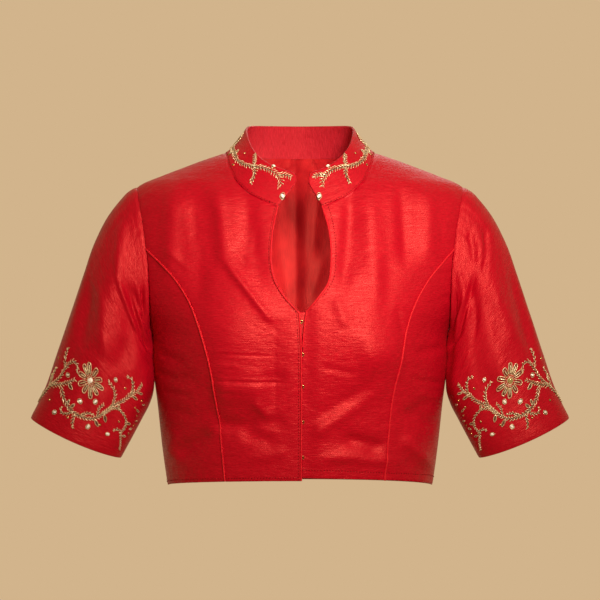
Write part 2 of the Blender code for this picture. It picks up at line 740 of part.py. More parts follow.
def make_sleeve(side, cloth):
    """A set-in sleeve: rings that fan out from the armhole to the cuff."""
    sign = SIDE_SIGN[side]
    loop = armhole_loop(side)
    outer_line, inner_line = outline(SLEEVE_OUTER, ROWS_SLEEVE), outline(SLEEVE_INNER, ROWS_SLEEVE)
    rise = (loop[:, 2] - UNDERARM_Z * MM) / ((SHOULDER_TIP_Z - UNDERARM_Z) * MM)
    turn = np.arccos(np.clip(2.0 * rise - 1.0, -1.0, 1.0))
    behind = np.arange(len(loop)) > ROWS_ARMHOLE_UPPER + ROWS_ARMHOLE_LOWER
    turn = np.where(behind, 2.0 * pi - turn, turn)
    depths = np.array(SLEEVE_DEPTH)
    depth_track = Track(depths[:, 0], depths[:, 1:] * MM)
    rings = []
    for row in range(ROWS_SLEEVE + 1):
        share = row / ROWS_SLEEVE
        half_depth, shift = depth_track(share)
        middle = (outer_line[row] + inner_line[row]) / 2.0
        reach = (outer_line[row] - inner_line[row]) / 2.0
        ring = np.stack([sign * (middle[0] + reach[0] * np.cos(turn)),
                         shift - half_depth * np.sin(turn),
                         middle[1] + reach[1] * np.cos(turn)], axis=-1)
        ring[:, 2] -= CUFF_DROOP * share**4 * np.sin(turn) ** 2
        rings.append(ring)
    rings = np.array(rings)
    shares = np.linspace(0.0, 1.0, ROWS_SLEEVE + 1)
    fade = 1.0 - smooth(shares / ARMHOLE_EASE)
    rings = rings + (loop - rings[0])[None] * fade[:, None, None]
    degrees = np.degrees(turn)[None, :]
    height = np.zeros(rings.shape[:2])
    for fold in SLEEVE_FOLDS[side]:
        along = (shares - fold.share0) / (fold.share1 - fold.share0)
        centre = fold.degrees0 + (fold.degrees1 - fold.degrees0) * np.clip(along, 0.0, 1.0)
        across = (degrees - centre[:, None]) / fold.width
        height = height + fold.height * MM * fold_ends(along)[:, None] * np.exp(-(across**2))
    height = height * smooth(shares / SLEEVE_HEAD)[:, None]
    normals = grid_normals(rings, closed=True) * sign
    outer = rings + normals * height[..., None]
    inner = outer - normals * CLOTH_WALL
    away = outer[1] - outer[0]
    away = away / np.linalg.norm(away, axis=-1, keepdims=True) * SEAM_GAP / 2.0
    outer[0] += away
    inner[0] += away
    return make_wall(f"sleeve_{side}", outer, inner, cloth, closed=True)


def collar_base_places():
    """The neck seam from the left front's hooked side round the back to the right front's."""
    right = neck_front_places("right")[::-1]
    right[:, 0] += 2.0 * pi
    return np.concatenate([neck_front_places("left"), neck_back_places()[1:], right[1:]])


def collar_grid():
    """The outer face of the collar, whose columns run round the neck and whose rows go up.

    Extra columns round its corners; they lie on the straight edges of the fronts' cells.
    """
    places = collar_base_places()
    seam = torso_point(places[:, 0], places[:, 1])
    knots = lengths_along(seam)
    corner = COLLAR_CORNER * (1.0 - np.cos(np.linspace(0.0, pi / 2.0, CORNER_COLUMNS + 1)[1:]))
    inside = knots[(knots > corner[-1] + corner[0]) & (knots < knots[-1] - corner[-1] - corner[0])]
    travelled = np.concatenate([[0.0], corner, inside, knots[-1] - corner[::-1], knots[-1:]])
    base = np.stack([np.interp(travelled, knots, seam[:, k]) for k in range(3)], axis=-1)
    middle = travelled[-1] / 2.0
    share = 1.0 - np.abs(travelled - middle) / middle
    rows = np.array(COLLAR_TOP)
    top = Track(rows[:, 0], rows[:, 1:] * MM)(share)
    top[:, 0] *= np.sign(middle - travelled)
    top[:, 0] += COLLAR_SHIFT * smooth(1.0 - share / COLLAR_SHIFT_SHARE)
    height = np.linalg.norm(top - base, axis=-1)
    from_end = np.clip(share * middle / COLLAR_CORNER, 0.0, 1.0)
    lost = COLLAR_CORNER * (1.0 - np.sqrt(1.0 - (1.0 - from_end) ** 2))
    kept = 1.0 - lost / height
    up = np.linspace(0.0, 1.0, ROWS_COLLAR + 1)[:, None, None]
    return base[None] + (top - base)[None] * kept[None, :, None] * up


def make_collar(cloth):
    """The stand collar's two layers."""
    grid = collar_grid()
    normals = grid_normals(grid, closed=False)
    lift = (grid[1] - grid[0]) / np.linalg.norm(grid[1] - grid[0], axis=-1, keepdims=True)
    grid = grid + lift[None] * SEAM_GAP * (1.0 - np.linspace(0.0, 1.0, len(grid)))[:, None, None]
    make_wall("collar", grid, grid - normals * CLOTH_WALL, cloth)
    facing = grid - normals * (CLOTH_WALL + SEAM_GAP)
    make_wall("collar_facing", facing, facing - normals * LINING_WALL, cloth)


def make_princess_piping(side, cloth):
    """The piping in a princess seam, which stops just short of the armhole and of the hem."""
    places = seam_places(PRINCESS[side], side, ROWS_PRINCESS)
    points = torso_point(places[:, 0], places[:, 1], PIPING_RISE)
    points[-1] += (points[-2] - points[-1]) * PIPING_STOP
    make_tube(f"princess_piping_{side}", points, PIPING_RADIUS, cloth)


def make_front_piping(side, cloth):
    """The piping round half the keyhole and down the hooked edge. The left one ends in the underlap."""
    places = front_edge_places(side)
    if side == "left":
        places = places[places[:, 1] > level_at(PIPING_UNDERLAP_Z * MM)]
    points = torso_point(places[:, 0], places[:, 1], PIPING_RISE, underlap=side == "left")
    points[-1] += (points[-2] - points[-1]) * PIPING_STOP
    make_tube(f"front_piping_{side}", points, PIPING_RADIUS, cloth)


def flat_place(x, level):
    """The angle, the base point and the outward direction of a point near the hooked edges."""
    angle = angle_of(x, level)
    return angle, torso_base(angle, level), torso_normal(angle, level)


def make_placket(cloth):
    """The underlap behind the hooked edges."""
    level = front_edge_places("left")[:ROWS_FRONT - ROWS_KEYHOLE + 1, 1][:, None]
    x = np.linspace(PLACKET_INNER_X, PLACKET_OUTER_X, PLACKET_COLUMNS + 1)[None] * MM
    level, x = np.broadcast_arrays(level, x)
    angle, base, normal = flat_place(x, level)
    depth = UNDERLAP_DROP + CLOTH_WALL + LAYER_GAP - torso_relief(angle, base)
    outer = base - normal * depth[..., None]
    make_wall("eye_placket", outer, outer - normal * CLOTH_WALL, cloth)


def make_hook(number, hook, brass):
    """A wire hook: an eyelet, a shank, the nose that shows past the edge, and the same way back."""
    nose_x = hook.nose_x * MM - HOOK_NOSE_RADIUS
    tail_x = nose_x - HOOK_LENGTH
    arc = np.radians(-90.0 - np.linspace(HOOK_EYELET_TURN, 0.0, HOOK_EYELET_POINTS))
    eyelet = np.stack([tail_x + HOOK_EYELET_RADIUS * np.cos(arc),
                       HOOK_NOSE_RADIUS + HOOK_EYELET_RADIUS * (1.0 + np.sin(arc))], axis=-1)
    arc = np.radians(np.linspace(90.0, -90.0, HOOK_NOSE_POINTS))
    nose = np.stack([nose_x + HOOK_NOSE_RADIUS * np.cos(arc), HOOK_NOSE_RADIUS * np.sin(arc)], axis=-1)
    flat = np.concatenate([eyelet, nose, eyelet[::-1] * (1.0, -1.0)])
    angle, base, normal = flat_place(flat[:, 0], level_at(hook.z * MM + flat[:, 1]))
    depth = CLOTH_WALL + SEAM_GAP + HOOK_WIRE_RADIUS - torso_relief(angle, base)
    make_tube(f"hook_{number}", base - normal * depth[:, None], HOOK_WIRE_RADIUS, brass, sides=4)


def main():
    for leftover in list(bpy.data.objects):
        bpy.data.objects.remove(leftover, do_unlink=True)
    collection = bpy.data.collections.new("choli_blouse")
    bpy.context.scene.collection.children.link(collection)
    silk = make_material("red_raw_silk", (0.55, 0.01, 0.02), 0.45)
    satin = make_material("red_satin_lining", (0.35, 0.02, 0.02), 0.35)
    brass = make_material("brass_wire", (0.78, 0.57, 0.26), 0.3, metallic=1.0)
    for side in ("right", "left"):
        make_front(side, silk)
        make_side_front(side, silk)
        make_sleeve(side, silk)
        make_princess_piping(side, silk)
        make_front_piping(side, silk)
    make_back(silk)
    make_back_lining(satin)
    make_collar(silk)
    make_placket(silk)
    for number, hook in enumerate(HOOKS, start=1):
        make_hook(number, hook, brass)


main()
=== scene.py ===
"""The choli blouse as it is dressed: raw silk on its cut pieces, satin lining, sewing and zardozi.

Every cloth piece is a thin shell on the form that its solid has, made again at a finer step with
the small creases and puckers that its sewing draws. Metres, +Z up, and the front faces -Y.
"""

import logging
from collections.abc import Callable, Sequence
from dataclasses import dataclass, field, replace
from enum import Enum
from functools import partial
from math import pi, radians
from typing import Any

import bpy
import numpy as np
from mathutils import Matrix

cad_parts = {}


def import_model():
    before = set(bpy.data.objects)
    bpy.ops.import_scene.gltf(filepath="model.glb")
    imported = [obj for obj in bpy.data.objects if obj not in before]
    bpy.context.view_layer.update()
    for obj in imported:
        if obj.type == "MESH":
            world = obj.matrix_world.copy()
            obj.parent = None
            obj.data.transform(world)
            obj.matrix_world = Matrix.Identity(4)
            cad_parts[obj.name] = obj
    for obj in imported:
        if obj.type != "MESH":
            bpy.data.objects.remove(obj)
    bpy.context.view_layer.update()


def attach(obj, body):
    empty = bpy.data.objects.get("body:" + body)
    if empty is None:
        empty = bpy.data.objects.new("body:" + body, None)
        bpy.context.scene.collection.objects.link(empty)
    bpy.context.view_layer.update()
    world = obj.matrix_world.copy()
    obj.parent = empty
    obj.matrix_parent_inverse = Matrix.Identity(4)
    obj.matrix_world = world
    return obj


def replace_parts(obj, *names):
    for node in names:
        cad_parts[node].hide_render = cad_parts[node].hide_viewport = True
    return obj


LOG = logging.getLogger("choli_blouse")
MM = 0.001
CLOTH_MAP = "cloth"
Array = np.ndarray
Seam = Callable[[Array], Array]
Piece = bpy.types.Object
Material = bpy.types.Material
Tree = bpy.types.NodeTree
Node = bpy.types.Node
Socket = bpy.types.NodeSocket


class Side(Enum):
    """The wearer's side, and the sign of its x."""

    RIGHT = -1.0
    LEFT = 1.0

    @property
    def label(self) -> str:
        """The side's name in the frame's nodes."""
        return self.name.lower()


@dataclass(frozen=True)
class Fold:
    """A soft ridge across a front or back view, in mm; a trough where its height is negative."""

    x0: float
    z0: float
    x1: float
    z1: float
    width: float
    height: float
    lean: float = 0.0


@dataclass(frozen=True)
class SleeveFold:
    """A fold of a sleeve: degrees round from its outer line and shares of its length, then mm."""

    degrees0: float
    share0: float
    degrees1: float
    share1: float
    width: float
    height: float


def fold_table(*rows: Sequence[float]) -> tuple[Fold, ...]:
    """Folds from rows of their values."""
    return tuple(Fold(*row) for row in rows)


def sleeve_fold_table(*rows: Sequence[float]) -> tuple[SleeveFold, ...]:
    """A sleeve's folds from rows of their values."""
    return tuple(SleeveFold(*row) for row in rows)


@dataclass(frozen=True)
class Cut:
    """The flat size that a piece was cut to, in metres, and its flat area in square metres."""

    width: float
    length: float
    area: float


# Cloth and seams, in metres, as the solids have them.
CLOTH_WALL = 1.2 * MM
LINING_WALL = 1.0 * MM
SEAM_GAP = 0.3 * MM
PIPING_RADIUS = 1.1 * MM
PIPING_RISE = 0.4 * MM
PIPING_STOP = 0.25
LAYER_GAP = 0.4 * MM
UNDERLAP_DROP = 3.2 * MM
UNDERLAP_EDGE = 5.0 * MM
UNDERLAP_REACH = 18.0 * MM
PIPING_UNDERLAP_Z = -223.0 * MM
HOOK_WIRE_RADIUS = 0.4 * MM
HOOK_NOSE_RADIUS = 1.5 * MM
HOOK_EYELET_RADIUS = 1.3 * MM
HOOK_LENGTH = 9.0 * MM
HOOK_SIDES = 8
EYE_HALF_MM = 3.2
EYE_BACK_MM = 1.1
EYE_RADIUS = 0.32 * MM
EYE_ROOT = 0.3 * MM
EYE_FREE = 0.35
EYE_BEND = 0.6
EYE_PLY = (0.18, 40.0)
COLLAR_CORNER = 17.0 * MM
COLLAR_SHIFT = 3.0 * MM
COLLAR_SHIFT_SHARE = 0.25

# The solids' cells along each seam, and how many of the shell's steps go into one.
ROWS_PRINCESS = 19
ROWS_ARMHOLE_UPPER = 7
ROWS_ARMHOLE_LOWER = 6
ROWS_SHOULDER = 8
ROWS_ARMHOLE_BACK = 12
ROWS_SIDE_BACK = 10
ROWS_KEYHOLE = 17
ROWS_FRONT = ROWS_PRINCESS + ROWS_ARMHOLE_UPPER + ROWS_SHOULDER
ROWS_BACK = ROWS_SIDE_BACK + ROWS_ARMHOLE_BACK + ROWS_SHOULDER
COLUMNS_FRONT = 9
COLUMNS_BACK = 20
COLUMNS_SIDE = 6
FINE = 400
NECK_CROWDING = 1.4
RELAXING_ROUNDS = 60
STEPS_FRONT = (8, 6)
STEPS_SIDE = (5, 8)
STEPS_BACK = (5, 9)
STEPS_LINING = (4, 6)
STEPS_SLEEVE = 6
ROWS_SLEEVE = 120
EDGE_STEPS = (0.04, 0.09, 0.16)
# How far a turned edge bulges for its wall, and the cloth's metres for a radian round the bodice.
EDGE_BULGE = 0.42
FLAT_FOR_RADIAN = 0.165

# Bodice: level, half width, and depth of its front and back from the side seam, in mm.
TORSO_SECTIONS = (
    (-400, 151, 89, 89), (-383, 153.5, 91, 90), (-340, 159.5, 96, 93), (-290, 165, 103, 98),
    (-240, 171, 110, 102), (-204, 173, 112, 103.5), (-180, 185, 110.5, 103), (-150, 197, 106, 102),
    (-110, 206, 96, 99), (-80, 207, 87.5, 95.5), (-60, 204, 80, 92.5), (-48, 198.5, 73.5, 90),
    (-38, 188, 66.5, 88), (-25, 159.5, 56.5, 84.5), (-16, 136, 50, 81), (-7, 112, 43, 77.5),
    (1.5, 86.5, 35, 73),
)
SHOULDER_TIP_Z = -38.0
UNDERARM_Z = -204.0
NECK_Z = 1.5
HEM_SIDE_Z = -383.0
HEM_RISE = {Side.RIGHT: 11.0, Side.LEFT: 14.0}

# Seams as they are seen from the front, as x and z in mm.
ARMHOLE = ((173, -204), (172.2, -196), (171.5, -180), (172, -153), (173.5, -130),
           (176.3, -105), (180, -80), (184, -60), (186, -50), (188, -38))
PRINCESS_TOP_Z = -111.0
PRINCESS = {
    Side.RIGHT: ((84.6, -373.5), (89.8, -316), (95, -264), (101.6, -226), (112, -194.8),
                 (127, -165.6), (144.9, -140.7), (175.5, -111)),
    Side.LEFT: ((95.5, -373), (99.5, -325), (103, -283), (109.5, -240.5), (118.7, -197),
                (141.3, -152), (175.5, -111)),
}
FRONT_EDGE = {
    Side.RIGHT: ((-1.2, -372), (-1.6, -270), (-0.8, -214), (0.8, -184)),
    Side.LEFT: ((2.6, -369), (2.4, -262), (2.9, -226), (4.2, -208), (5.4, -196),
                (7.4, -182)),
}
KEYHOLE = {
    Side.RIGHT: ((0.8, -184), (19, -163.5), (28, -147.7), (32.5, -126.4), (32.5, -113),
                 (30.2, -88.4), (25, -63)),
    Side.LEFT: ((7.4, -182), (20.2, -166.8), (31.4, -150), (34.7, -126.4), (34.7, -110.8),
                (32.5, -90.6), (25, -63)),
}
KEYHOLE_CLOSED_Z = -166.8
NECK_FRONT = ((7.2, -63), (12, -56), (17.1, -47), (22.5, -35.5), (32.6, -20),
              (50, -6), (70, -0.2), (90, 1.5))

# Stand collar's top edge: share of the half neck seam from the front, then x, y and z in mm.
COLLAR_TOP = (
    (0.00, 1, -66, -27), (0.10, 20, -61.5, -21), (0.20, 37, -54, -13),
    (0.32, 50, -43, -2), (0.43, 58, -27, 10.5), (0.52, 62, -8, 22.5),
    (0.62, 63, 13, 31.5), (0.73, 57.5, 35, 35.2), (0.86, 36, 55, 36.4),
    (1.00, 0, 65.5, 36.7), (1.14, -36, 55, 36.4),
)

# Sleeve outlines as they are seen from the front, and half its depth and its y by share of length.
SLEEVE_OUTER = ((188, -38), (199.5, -44), (208, -53), (222.5, -72), (236.5, -99.5),
                (249.5, -136.5), (265, -183), (280.5, -229), (296, -274), (311, -304.7))
SLEEVE_INNER = ((173, -204), (173.9, -210), (174.2, -218), (173.4, -231), (171.6, -250),
                (169.4, -266), (170, -276), (174, -289), (182.6, -306), (206.5, -351))
SLEEVE_DEPTH = ((0, 51, 0), (0.2, 53, -1), (0.4, 51.5, -3), (0.6, 48, -5),
                (0.8, 43.5, -8), (1, 39, -11))
CUFF_DROOP = 3.0 * MM
ARMHOLE_EASE = 0.3
SLEEVE_HEAD = 0.15
HEAD_EASE = (0.35, 0.02)
CUFF_STEPS = (0.4, 1.0, 1.8)

# How far before its ends a fold dies away, and how softly, as shares of its run.
FOLD_TAIL = 0.15
FOLD_EASE = 0.4
FRONT_FOLDS = fold_table(
    (-84, -120, -30, -190, 9, 2.2), (-100, -60, -98, -135, 12, -2.6),
    (-58, -62, -66, -140, 9, -1.8), (-140, -70, -128, -150, 13, -1.6),
    (64, -64, 60, -140, 11, -2.6), (134, -56, 122, -120, 12, -2.2), (100, -120, 92, -190, 10, -1.4),
    (-62, -303, -14, -308, 10, -2.2), (10, -306, 88, -262, 10, -2), (48, -322, 92, -342, 9, -2.2),
    (18, -352, 84, -330, 9, 1.4), (-134, -345, -100, -318, 9, -2.4), (-148, -352, -140, -318, 7, 2),
    (120, -320, 144, -356, 8, 2.2), (112, -300, 150, -286, 8, -1.8),
    (-112, -262, -162, -250, 8, -1.6), (-95, -256, -2, -257.5, 6, -1.2),
)
BACK_FOLDS = fold_table(
    (-70, -40, -88, -130, 13, -2.4), (82, -44, 70, -118, 12, -2), (-150, -230, -60, -262, 11, 2.2),
    (148, -222, 76, -270, 10, 2), (-130, -330, -44, -306, 10, -2.2),
    (40, -318, 128, -344, 11, -2.4), (-30, -352, 58, -360, 9, 1.4),
)
BUST_CENTRE = (82, -214)
BUST_SPREAD = (44, 52)
BUST_RISE = 11.0
SIDE_FADE = 0.45
SLEEVE_FOLDS = {
    Side.RIGHT: sleeve_fold_table(
        (66, 0.05, 84, 0.62, 15, 2.4),
        (104, 0.12, 122, 0.86, 13, -3),
        (140, 0.10, 146, 0.70, 12, 2.2),
        (163, 0.03, 166, 0.40, 11, 2.8),
        (40, 0.42, 58, 0.95, 13, -2),
        (238, 0.08, 222, 0.72, 14, -3),
        (282, 0.15, 266, 0.88, 15, 2.4),
    ),
    Side.LEFT: sleeve_fold_table(
        (62, 0.08, 88, 0.70, 14, 2.4),
        (100, 0.10, 114, 0.80, 12, -2.8),
        (136, 0.14, 148, 0.64, 12, 2.4),
        (162, 0.04, 166, 0.38, 11, 2.6),
        (30, 0.50, 52, 0.96, 12, -1.8),
        (232, 0.12, 226, 0.66, 13, -2.6),
        (290, 0.10, 262, 0.80, 14, 2.2),
    ),
}

# Small creases that only the shell has, placed one by one and uneven as worn silk is.
FRONT_CREASES = fold_table(
    (-144, -42, -146, -140, 11, 3.4), (-116, -48, -112, -170, 11, -3.2),
    (-94, -42, -86, -125, 9, 3), (-65, -36, -44, -158, 11, -2.4),
    (-84, -124, -29, -194, 4, 2.4, 0.7), (-74, -112, -56, -134, 4, -0.8),
    (-96, -270, -36, -268, 22, 6.6), (66, -234, 112, -228, 22, 4.2),
    (-97, -257, -14, -261, 2.2, -0.5, 3.2), (-94, -227, -34, -230, 2, -0.3, 3.2),
    (-92, -240, -64, -243, 2.4, 0.5), (-93, -272, -62, -274, 2.4, -0.7, 0.4),
    (-96, -305, -48, -312, 9, -3, 0.4), (-50, -280, -32, -302, 6, 1.9, 0.4),
    (-66, -320, -28, -331, 8, -2.2, -0.4), (-60, -348, -12, -340, 7, 1.4),
    (-122, -60, -120, -104, 4.5, -0.8), (-48, -84, -50, -122, 4, -0.6, 0.6),
    (-150, -112, -126, -134, 4, 0.9), (-152, -352, -108, -318, 8, -3, 0.4),
    (-154, -334, -138, -356, 7, 1.8), (-158, -272, -124, -277, 2.6, -1.1, 0.5),
    (-150, -292, -118, -300, 5, -1.2, 0.5), (-164, -226, -128, -240, 5, -1.6, 0.6),
    (-160, -246, -134, -254, 4, 1.2), (56, -42, 46, -160, 9, -3.4, -0.5),
    (78, -48, 86, -172, 12, 3.2), (117, -40, 121, -128, 8, -3.4, 0.5),
    (145, -46, 146, -126, 9, 2.6), (41, -168, 50, -198, 5, 1.9, 0.4), (60, -176, 66, -206, 6, -1.4),
    (108, -178, 114, -208, 4.4, -1.6, 0.4), (22, -242, 64, -250, 4, -0.8, 0.5),
    (12, -319, 60, -286, 9, 2.8, 0.5), (56, -288, 98, -258, 9, 1.8, 0.4),
    (50, -324, 94, -332, 8, -3, 0.4), (28, -346, 112, -352, 7, 2.4, -0.3),
    (116, -326, 158, -362, 8, 2.8, 0.4), (122, -298, 160, -314, 9, -2.4),
    (126, -258, 166, -264, 3, -1.2, 0.6), (130, -228, 168, -222, 5, -1.6, 0.5),
    (136, -274, 164, -282, 4, 1, 0.4),
)
BACK_CREASES = fold_table(
    (-66, -34, -78, -132, 8, -2.6, 0.4), (-98, -44, -92, -150, 9, 2.4),
    (-34, -12, -42, -92, 7, 1.6), (4, -16, -6, -118, 9, -1.8, 0.3),
    (46, -14, 40, -84, 7, -1.8, 0.4), (90, -46, 78, -140, 8, -2.4, -0.5),
    (116, -50, 110, -128, 8, 2.2), (-160, -214, -82, -250, 6, 2.6, 0.6),
    (-152, -246, -80, -272, 6, -2.2, 0.5), (-158, -286, -104, -296, 5, 1.6, 0.4),
    (158, -210, 88, -256, 6, 2.6, -0.6), (150, -246, 96, -272, 5.6, -2),
    (156, -290, 112, -302, 5, 1.4, -0.4), (-128, -322, -44, -300, 6, -2.6, 0.6),
    (-92, -346, -14, -336, 6, 1.8, 0.4), (36, -308, 122, -334, 6, -2.4, 0.7),
    (8, -286, 70, -274, 5, -1.5, 0.5), (18, -350, 84, -356, 6, 1.6, 0.4),
    (-30, -240, 36, -246, 5, -1.6, 0.5), (-70, -190, -24, -202, 5, 1.4),
    (24, -166, 80, -158, 5, -1.4), (-20, -262, -34, -318, 9, 1.8, 0.3),
)
# Millimetres round the sleeve from its outer line, forwards, and down from the armhole.
SLEEVE_CREASES = {
    Side.RIGHT: fold_table(
        (42, 22, 70, 52, 9, 2.6), (66, 54, 112, 58, 4.6, 3, 0.4), (78, 44, 134, 42, 5, -4.6),
        (92, 18, 122, 15, 4.5, -4), (82, 40, 132, 16, 5, -3.4, 0.4), (92, 14, 126, 27, 3.4, -2.2),
        (100, 62, 138, 44, 5, -2.6, 0.4), (54, 84, 73, 134, 9, 2.6), (38, 96, 50, 150, 8, -2.2),
        (94, 92, 84, 142, 7, -2.6), (112, 70, 104, 130, 7, 1.8), (66, 156, 74, 214, 9, -1.6),
        (16, 60, 26, 150, 9, 1.6), (90, 160, 96, 206, 8, 1.2), (-48, 26, -74, 58, 8, 2.4),
        (-78, 40, -130, 18, 6, -3.2, -0.4), (-66, 58, -122, 44, 5, 2.2),
        (-60, 96, -78, 146, 9, -2.4), (-96, 88, -88, 140, 8, 2.2), (-34, 80, -44, 168, 9, 1.8),
        (-112, 96, -100, 160, 7, -1.8), (138, 8, 141, 47, 9, 3), (142, 54, 143, 116, 11, 1.45),
        (140, 40, 142, 66, 8, 0.9), (150, 5, 148, 16, 12, 2.4), (-150, 5, -148, 16, 12, 2.4),
    ),
    Side.LEFT: fold_table(
        (50, 16, 66, 36, 5.4, -2.8, 0.4), (36, 34, 66, 52, 5.4, -2.8, -0.3),
        (48, 34, 58, 46, 5, 1.2), (84, 10, 96, 56, 6, 2.6), (98, 28, 134, 10, 5, -3.2, 0.4),
        (80, 40, 90, 88, 6, -2.6), (104, 56, 136, 40, 5, -2.4, 0.4), (58, 76, 50, 142, 9, 2.6),
        (68, 72, 64, 128, 6, -2), (98, 96, 110, 104, 3.2, 1.5, 0.4),
        (96, 112, 107, 119, 3.2, 1.3, 0.4), (30, 90, 34, 160, 8, -2.2), (88, 140, 84, 196, 9, -1.8),
        (14, 60, 16, 170, 9, 1.6), (-46, 30, -72, 60, 8, 2.4), (-80, 44, -132, 20, 6, -3.2, -0.4),
        (-68, 62, -120, 46, 5, 2), (-58, 90, -74, 150, 9, -2.4), (-94, 84, -90, 144, 8, 2),
        (-32, 86, -40, 160, 9, 1.6), (-110, 90, -102, 150, 7, -1.8), (138, 8, 141, 49, 9, 3.2),
        (142, 54, 143, 116, 11, 1.6), (140, 38, 142, 76, 8, 1.1), (150, 5, 148, 16, 12, 2.4),
        (-150, 5, -148, 16, 12, 2.4), (98, 15, 126, 12, 4.5, -4), (72, 41, 122, 45, 5, -4, -0.3),
        (90, 32, 114, 30, 4, 2),
    ),
}
LINING_FOLDS = fold_table(
    (-3, -14, -4, -330, 5, 2.4, 0.6), (8, -20, 6, -300, 8, -2.4, -0.3), (-30, -8, -24, -150, 9, -2),
    (-15, -4, -14, -52, 3, -1.6), (14, -4, 17, -70, 3.4, -1.6), (-6, -2, -7, -34, 3, 1.4),
    (22, -28, 16, -118, 7, 3, 0.5), (30, -120, 12, -170, 6, 2, 0.4), (38, -8, 36, -84, 6, -2),
    (-48, -20, -38, -180, 8, 2.2), (-18, -120, -12, -220, 6, -1.8, 0.4),
    (-70, -60, -64, -260, 9, -2), (70, -50, 62, -270, 9, 2), (-110, -120, -100, -320, 9, 1.8),
    (112, -110, 104, -330, 9, -1.8),
)

# How a seam pulls its cloth: it sinks beside the seam, and short puckers run off from it.
CORD_GAP = -0.5 * MM
CORD_SINK = 0.1 * MM
CORD_LIFT = 0.15 * MM
CORD_SIDES = 12
CORD_STEPS_FRONT = 12
CORD_STEPS_PRINCESS = 14
SEAM_SINK = 0.35 * MM
SEAM_REACH = 1.5 * MM
HEM_SINK = 0.3 * MM
FACING_STEP = 2.2 * MM
FACING_RAMP = 15.0 * MM
FACING_STRIP = 17.0 * MM
FACING_SPAN = (-306.0, -186.0)
FACING_FADE = (40.0, 12.0)
FACING_LEDGE = 1.25
FACING_CURVE = 1.3
FACING_EDGE = 6.0
FACING_EASE = 16.0
FACING_LINE_X = -27.0
# A sleeve's arc for a degree round it, its length inside and along the cloth, and how its armhole
# and underarm seams are pressed.
ARC_FOR_DEGREE = 0.87 * MM
SLEEVE_RUN = 240.0 * MM
SLEEVE_CLOTH = 0.3
SEAM_FREE = 0.05
PRESSED_SEAM = 0.5 * MM
PRESSED_AT = 4.0 * MM
PRESSED_WIDTH = 2.6 * MM
UNDERARM_SINK = 0.7


class Track:
    """A smooth curve through a table's rows, one value or one row of values for each knot."""

    def __init__(self, knots: Sequence[float] | Array, values: Sequence[Any] | Array) -> None:
        """Keep the knots and their values, and find the slopes.

        Args:
            knots: Where the values are given, in rising order.
            values: One value, or one row of values, for each knot.
        """
        self.knots = np.asarray(knots, dtype=float)
        self.values = np.asarray(values, dtype=float)
        self.slopes = np.gradient(self.values, self.knots, axis=0)

    def __call__(self, at: Array) -> Array:
        """Values at the given knots.

        Args:
            at: Places along the knots; those outside take the nearest end.

        Returns:
            One value, or one row of values, for each place.
        """
        at = np.clip(np.asarray(at, dtype=float), self.knots[0], self.knots[-1])
        low = np.clip(np.searchsorted(self.knots, at) - 1, 0, len(self.knots) - 2)
        span = self.knots[low + 1] - self.knots[low]
        share = (at - self.knots[low]) / span
        if self.values.ndim > 1:
            span = span[..., None]
            share = share[..., None]
        blend = share * share * (3.0 - 2.0 * share)
        start = share * (1.0 - share) ** 2 * span * self.slopes[low]
        end = share * share * (share - 1.0) * span * self.slopes[low + 1]
        return self.values[low] * (1.0 - blend) + self.values[low + 1] * blend + start + end


def smooth(share: Array) -> Array:
    """Ease from 0 to 1 as the share goes from 0 to 1."""
    share = np.clip(share, 0.0, 1.0)
    return share * share * (3.0 - 2.0 * share)


def lengths_along(points: Array) -> Array:
    """Distance along a line of points, 0 at its first point."""
    steps = np.linalg.norm(np.diff(points, axis=0), axis=-1)
    return np.concatenate([np.zeros((1, *steps.shape[1:])), np.cumsum(steps, axis=0)])


def read_at(far: Array | float, travelled: Array, rows: Array) -> Array:
    """A line's rows at distances along it, from how far along it each row is."""
    return np.stack([np.interp(far, travelled, column) for column in rows.T], axis=-1)


def unit(vectors: Array) -> Array:
    """The same directions with length 1."""
    return vectors / np.linalg.norm(vectors, axis=-1, keepdims=True)


def fold_ends(along: Array) -> Array:
    """How a fold rises and dies away along its run, which goes from 0 to 1."""
    return smooth((along + FOLD_TAIL) / FOLD_EASE) * smooth((1.0 + FOLD_TAIL - along) / FOLD_EASE)


def fold_heights(x: Array, z: Array, folds: Sequence[Fold]) -> Array:
    """The height of folds at points of the front or back view.

    Args:
        x: The points' x, in metres.
        z: The points' z, in metres.
        folds: The folds, in millimetres.

    Returns:
        The total height at each point, in metres.
    """
    total = np.zeros_like(x)
    for fold in folds:
        start = np.array([fold.x0, fold.z0]) * MM
        run = np.array([fold.x1, fold.z1]) * MM - start
        length = np.hypot(*run)
        along = ((x - start[0]) * run[0] + (z - start[1]) * run[1]) / length**2
        across = ((x - start[0]) * run[1] - (z - start[1]) * run[0]) / (length * fold.width * MM)
        lean = 1.0 + fold.lean * across
        total += fold.height * MM * fold_ends(along) * np.exp(-(across**2)) * lean
    return total


# Seam puckers: their first place, spacing, width and clear ends in mm, then shares: their reach,
# height, slant and lean, and how many of them are raised.
PUCKER_FIRST = (3.0, 9.0)
PUCKER_SPACING = (6.0, 16.0)
PUCKER_WIDTH = (1.9, 3.1)
PUCKER_END = 3.0
PUCKER_REACH = (0.5, 1.3)
PUCKER_HEIGHT = (0.4, 1.2)
PUCKER_SLANT = 0.35
PUCKER_LEAN = 0.6
PUCKER_RAISED = 0.4


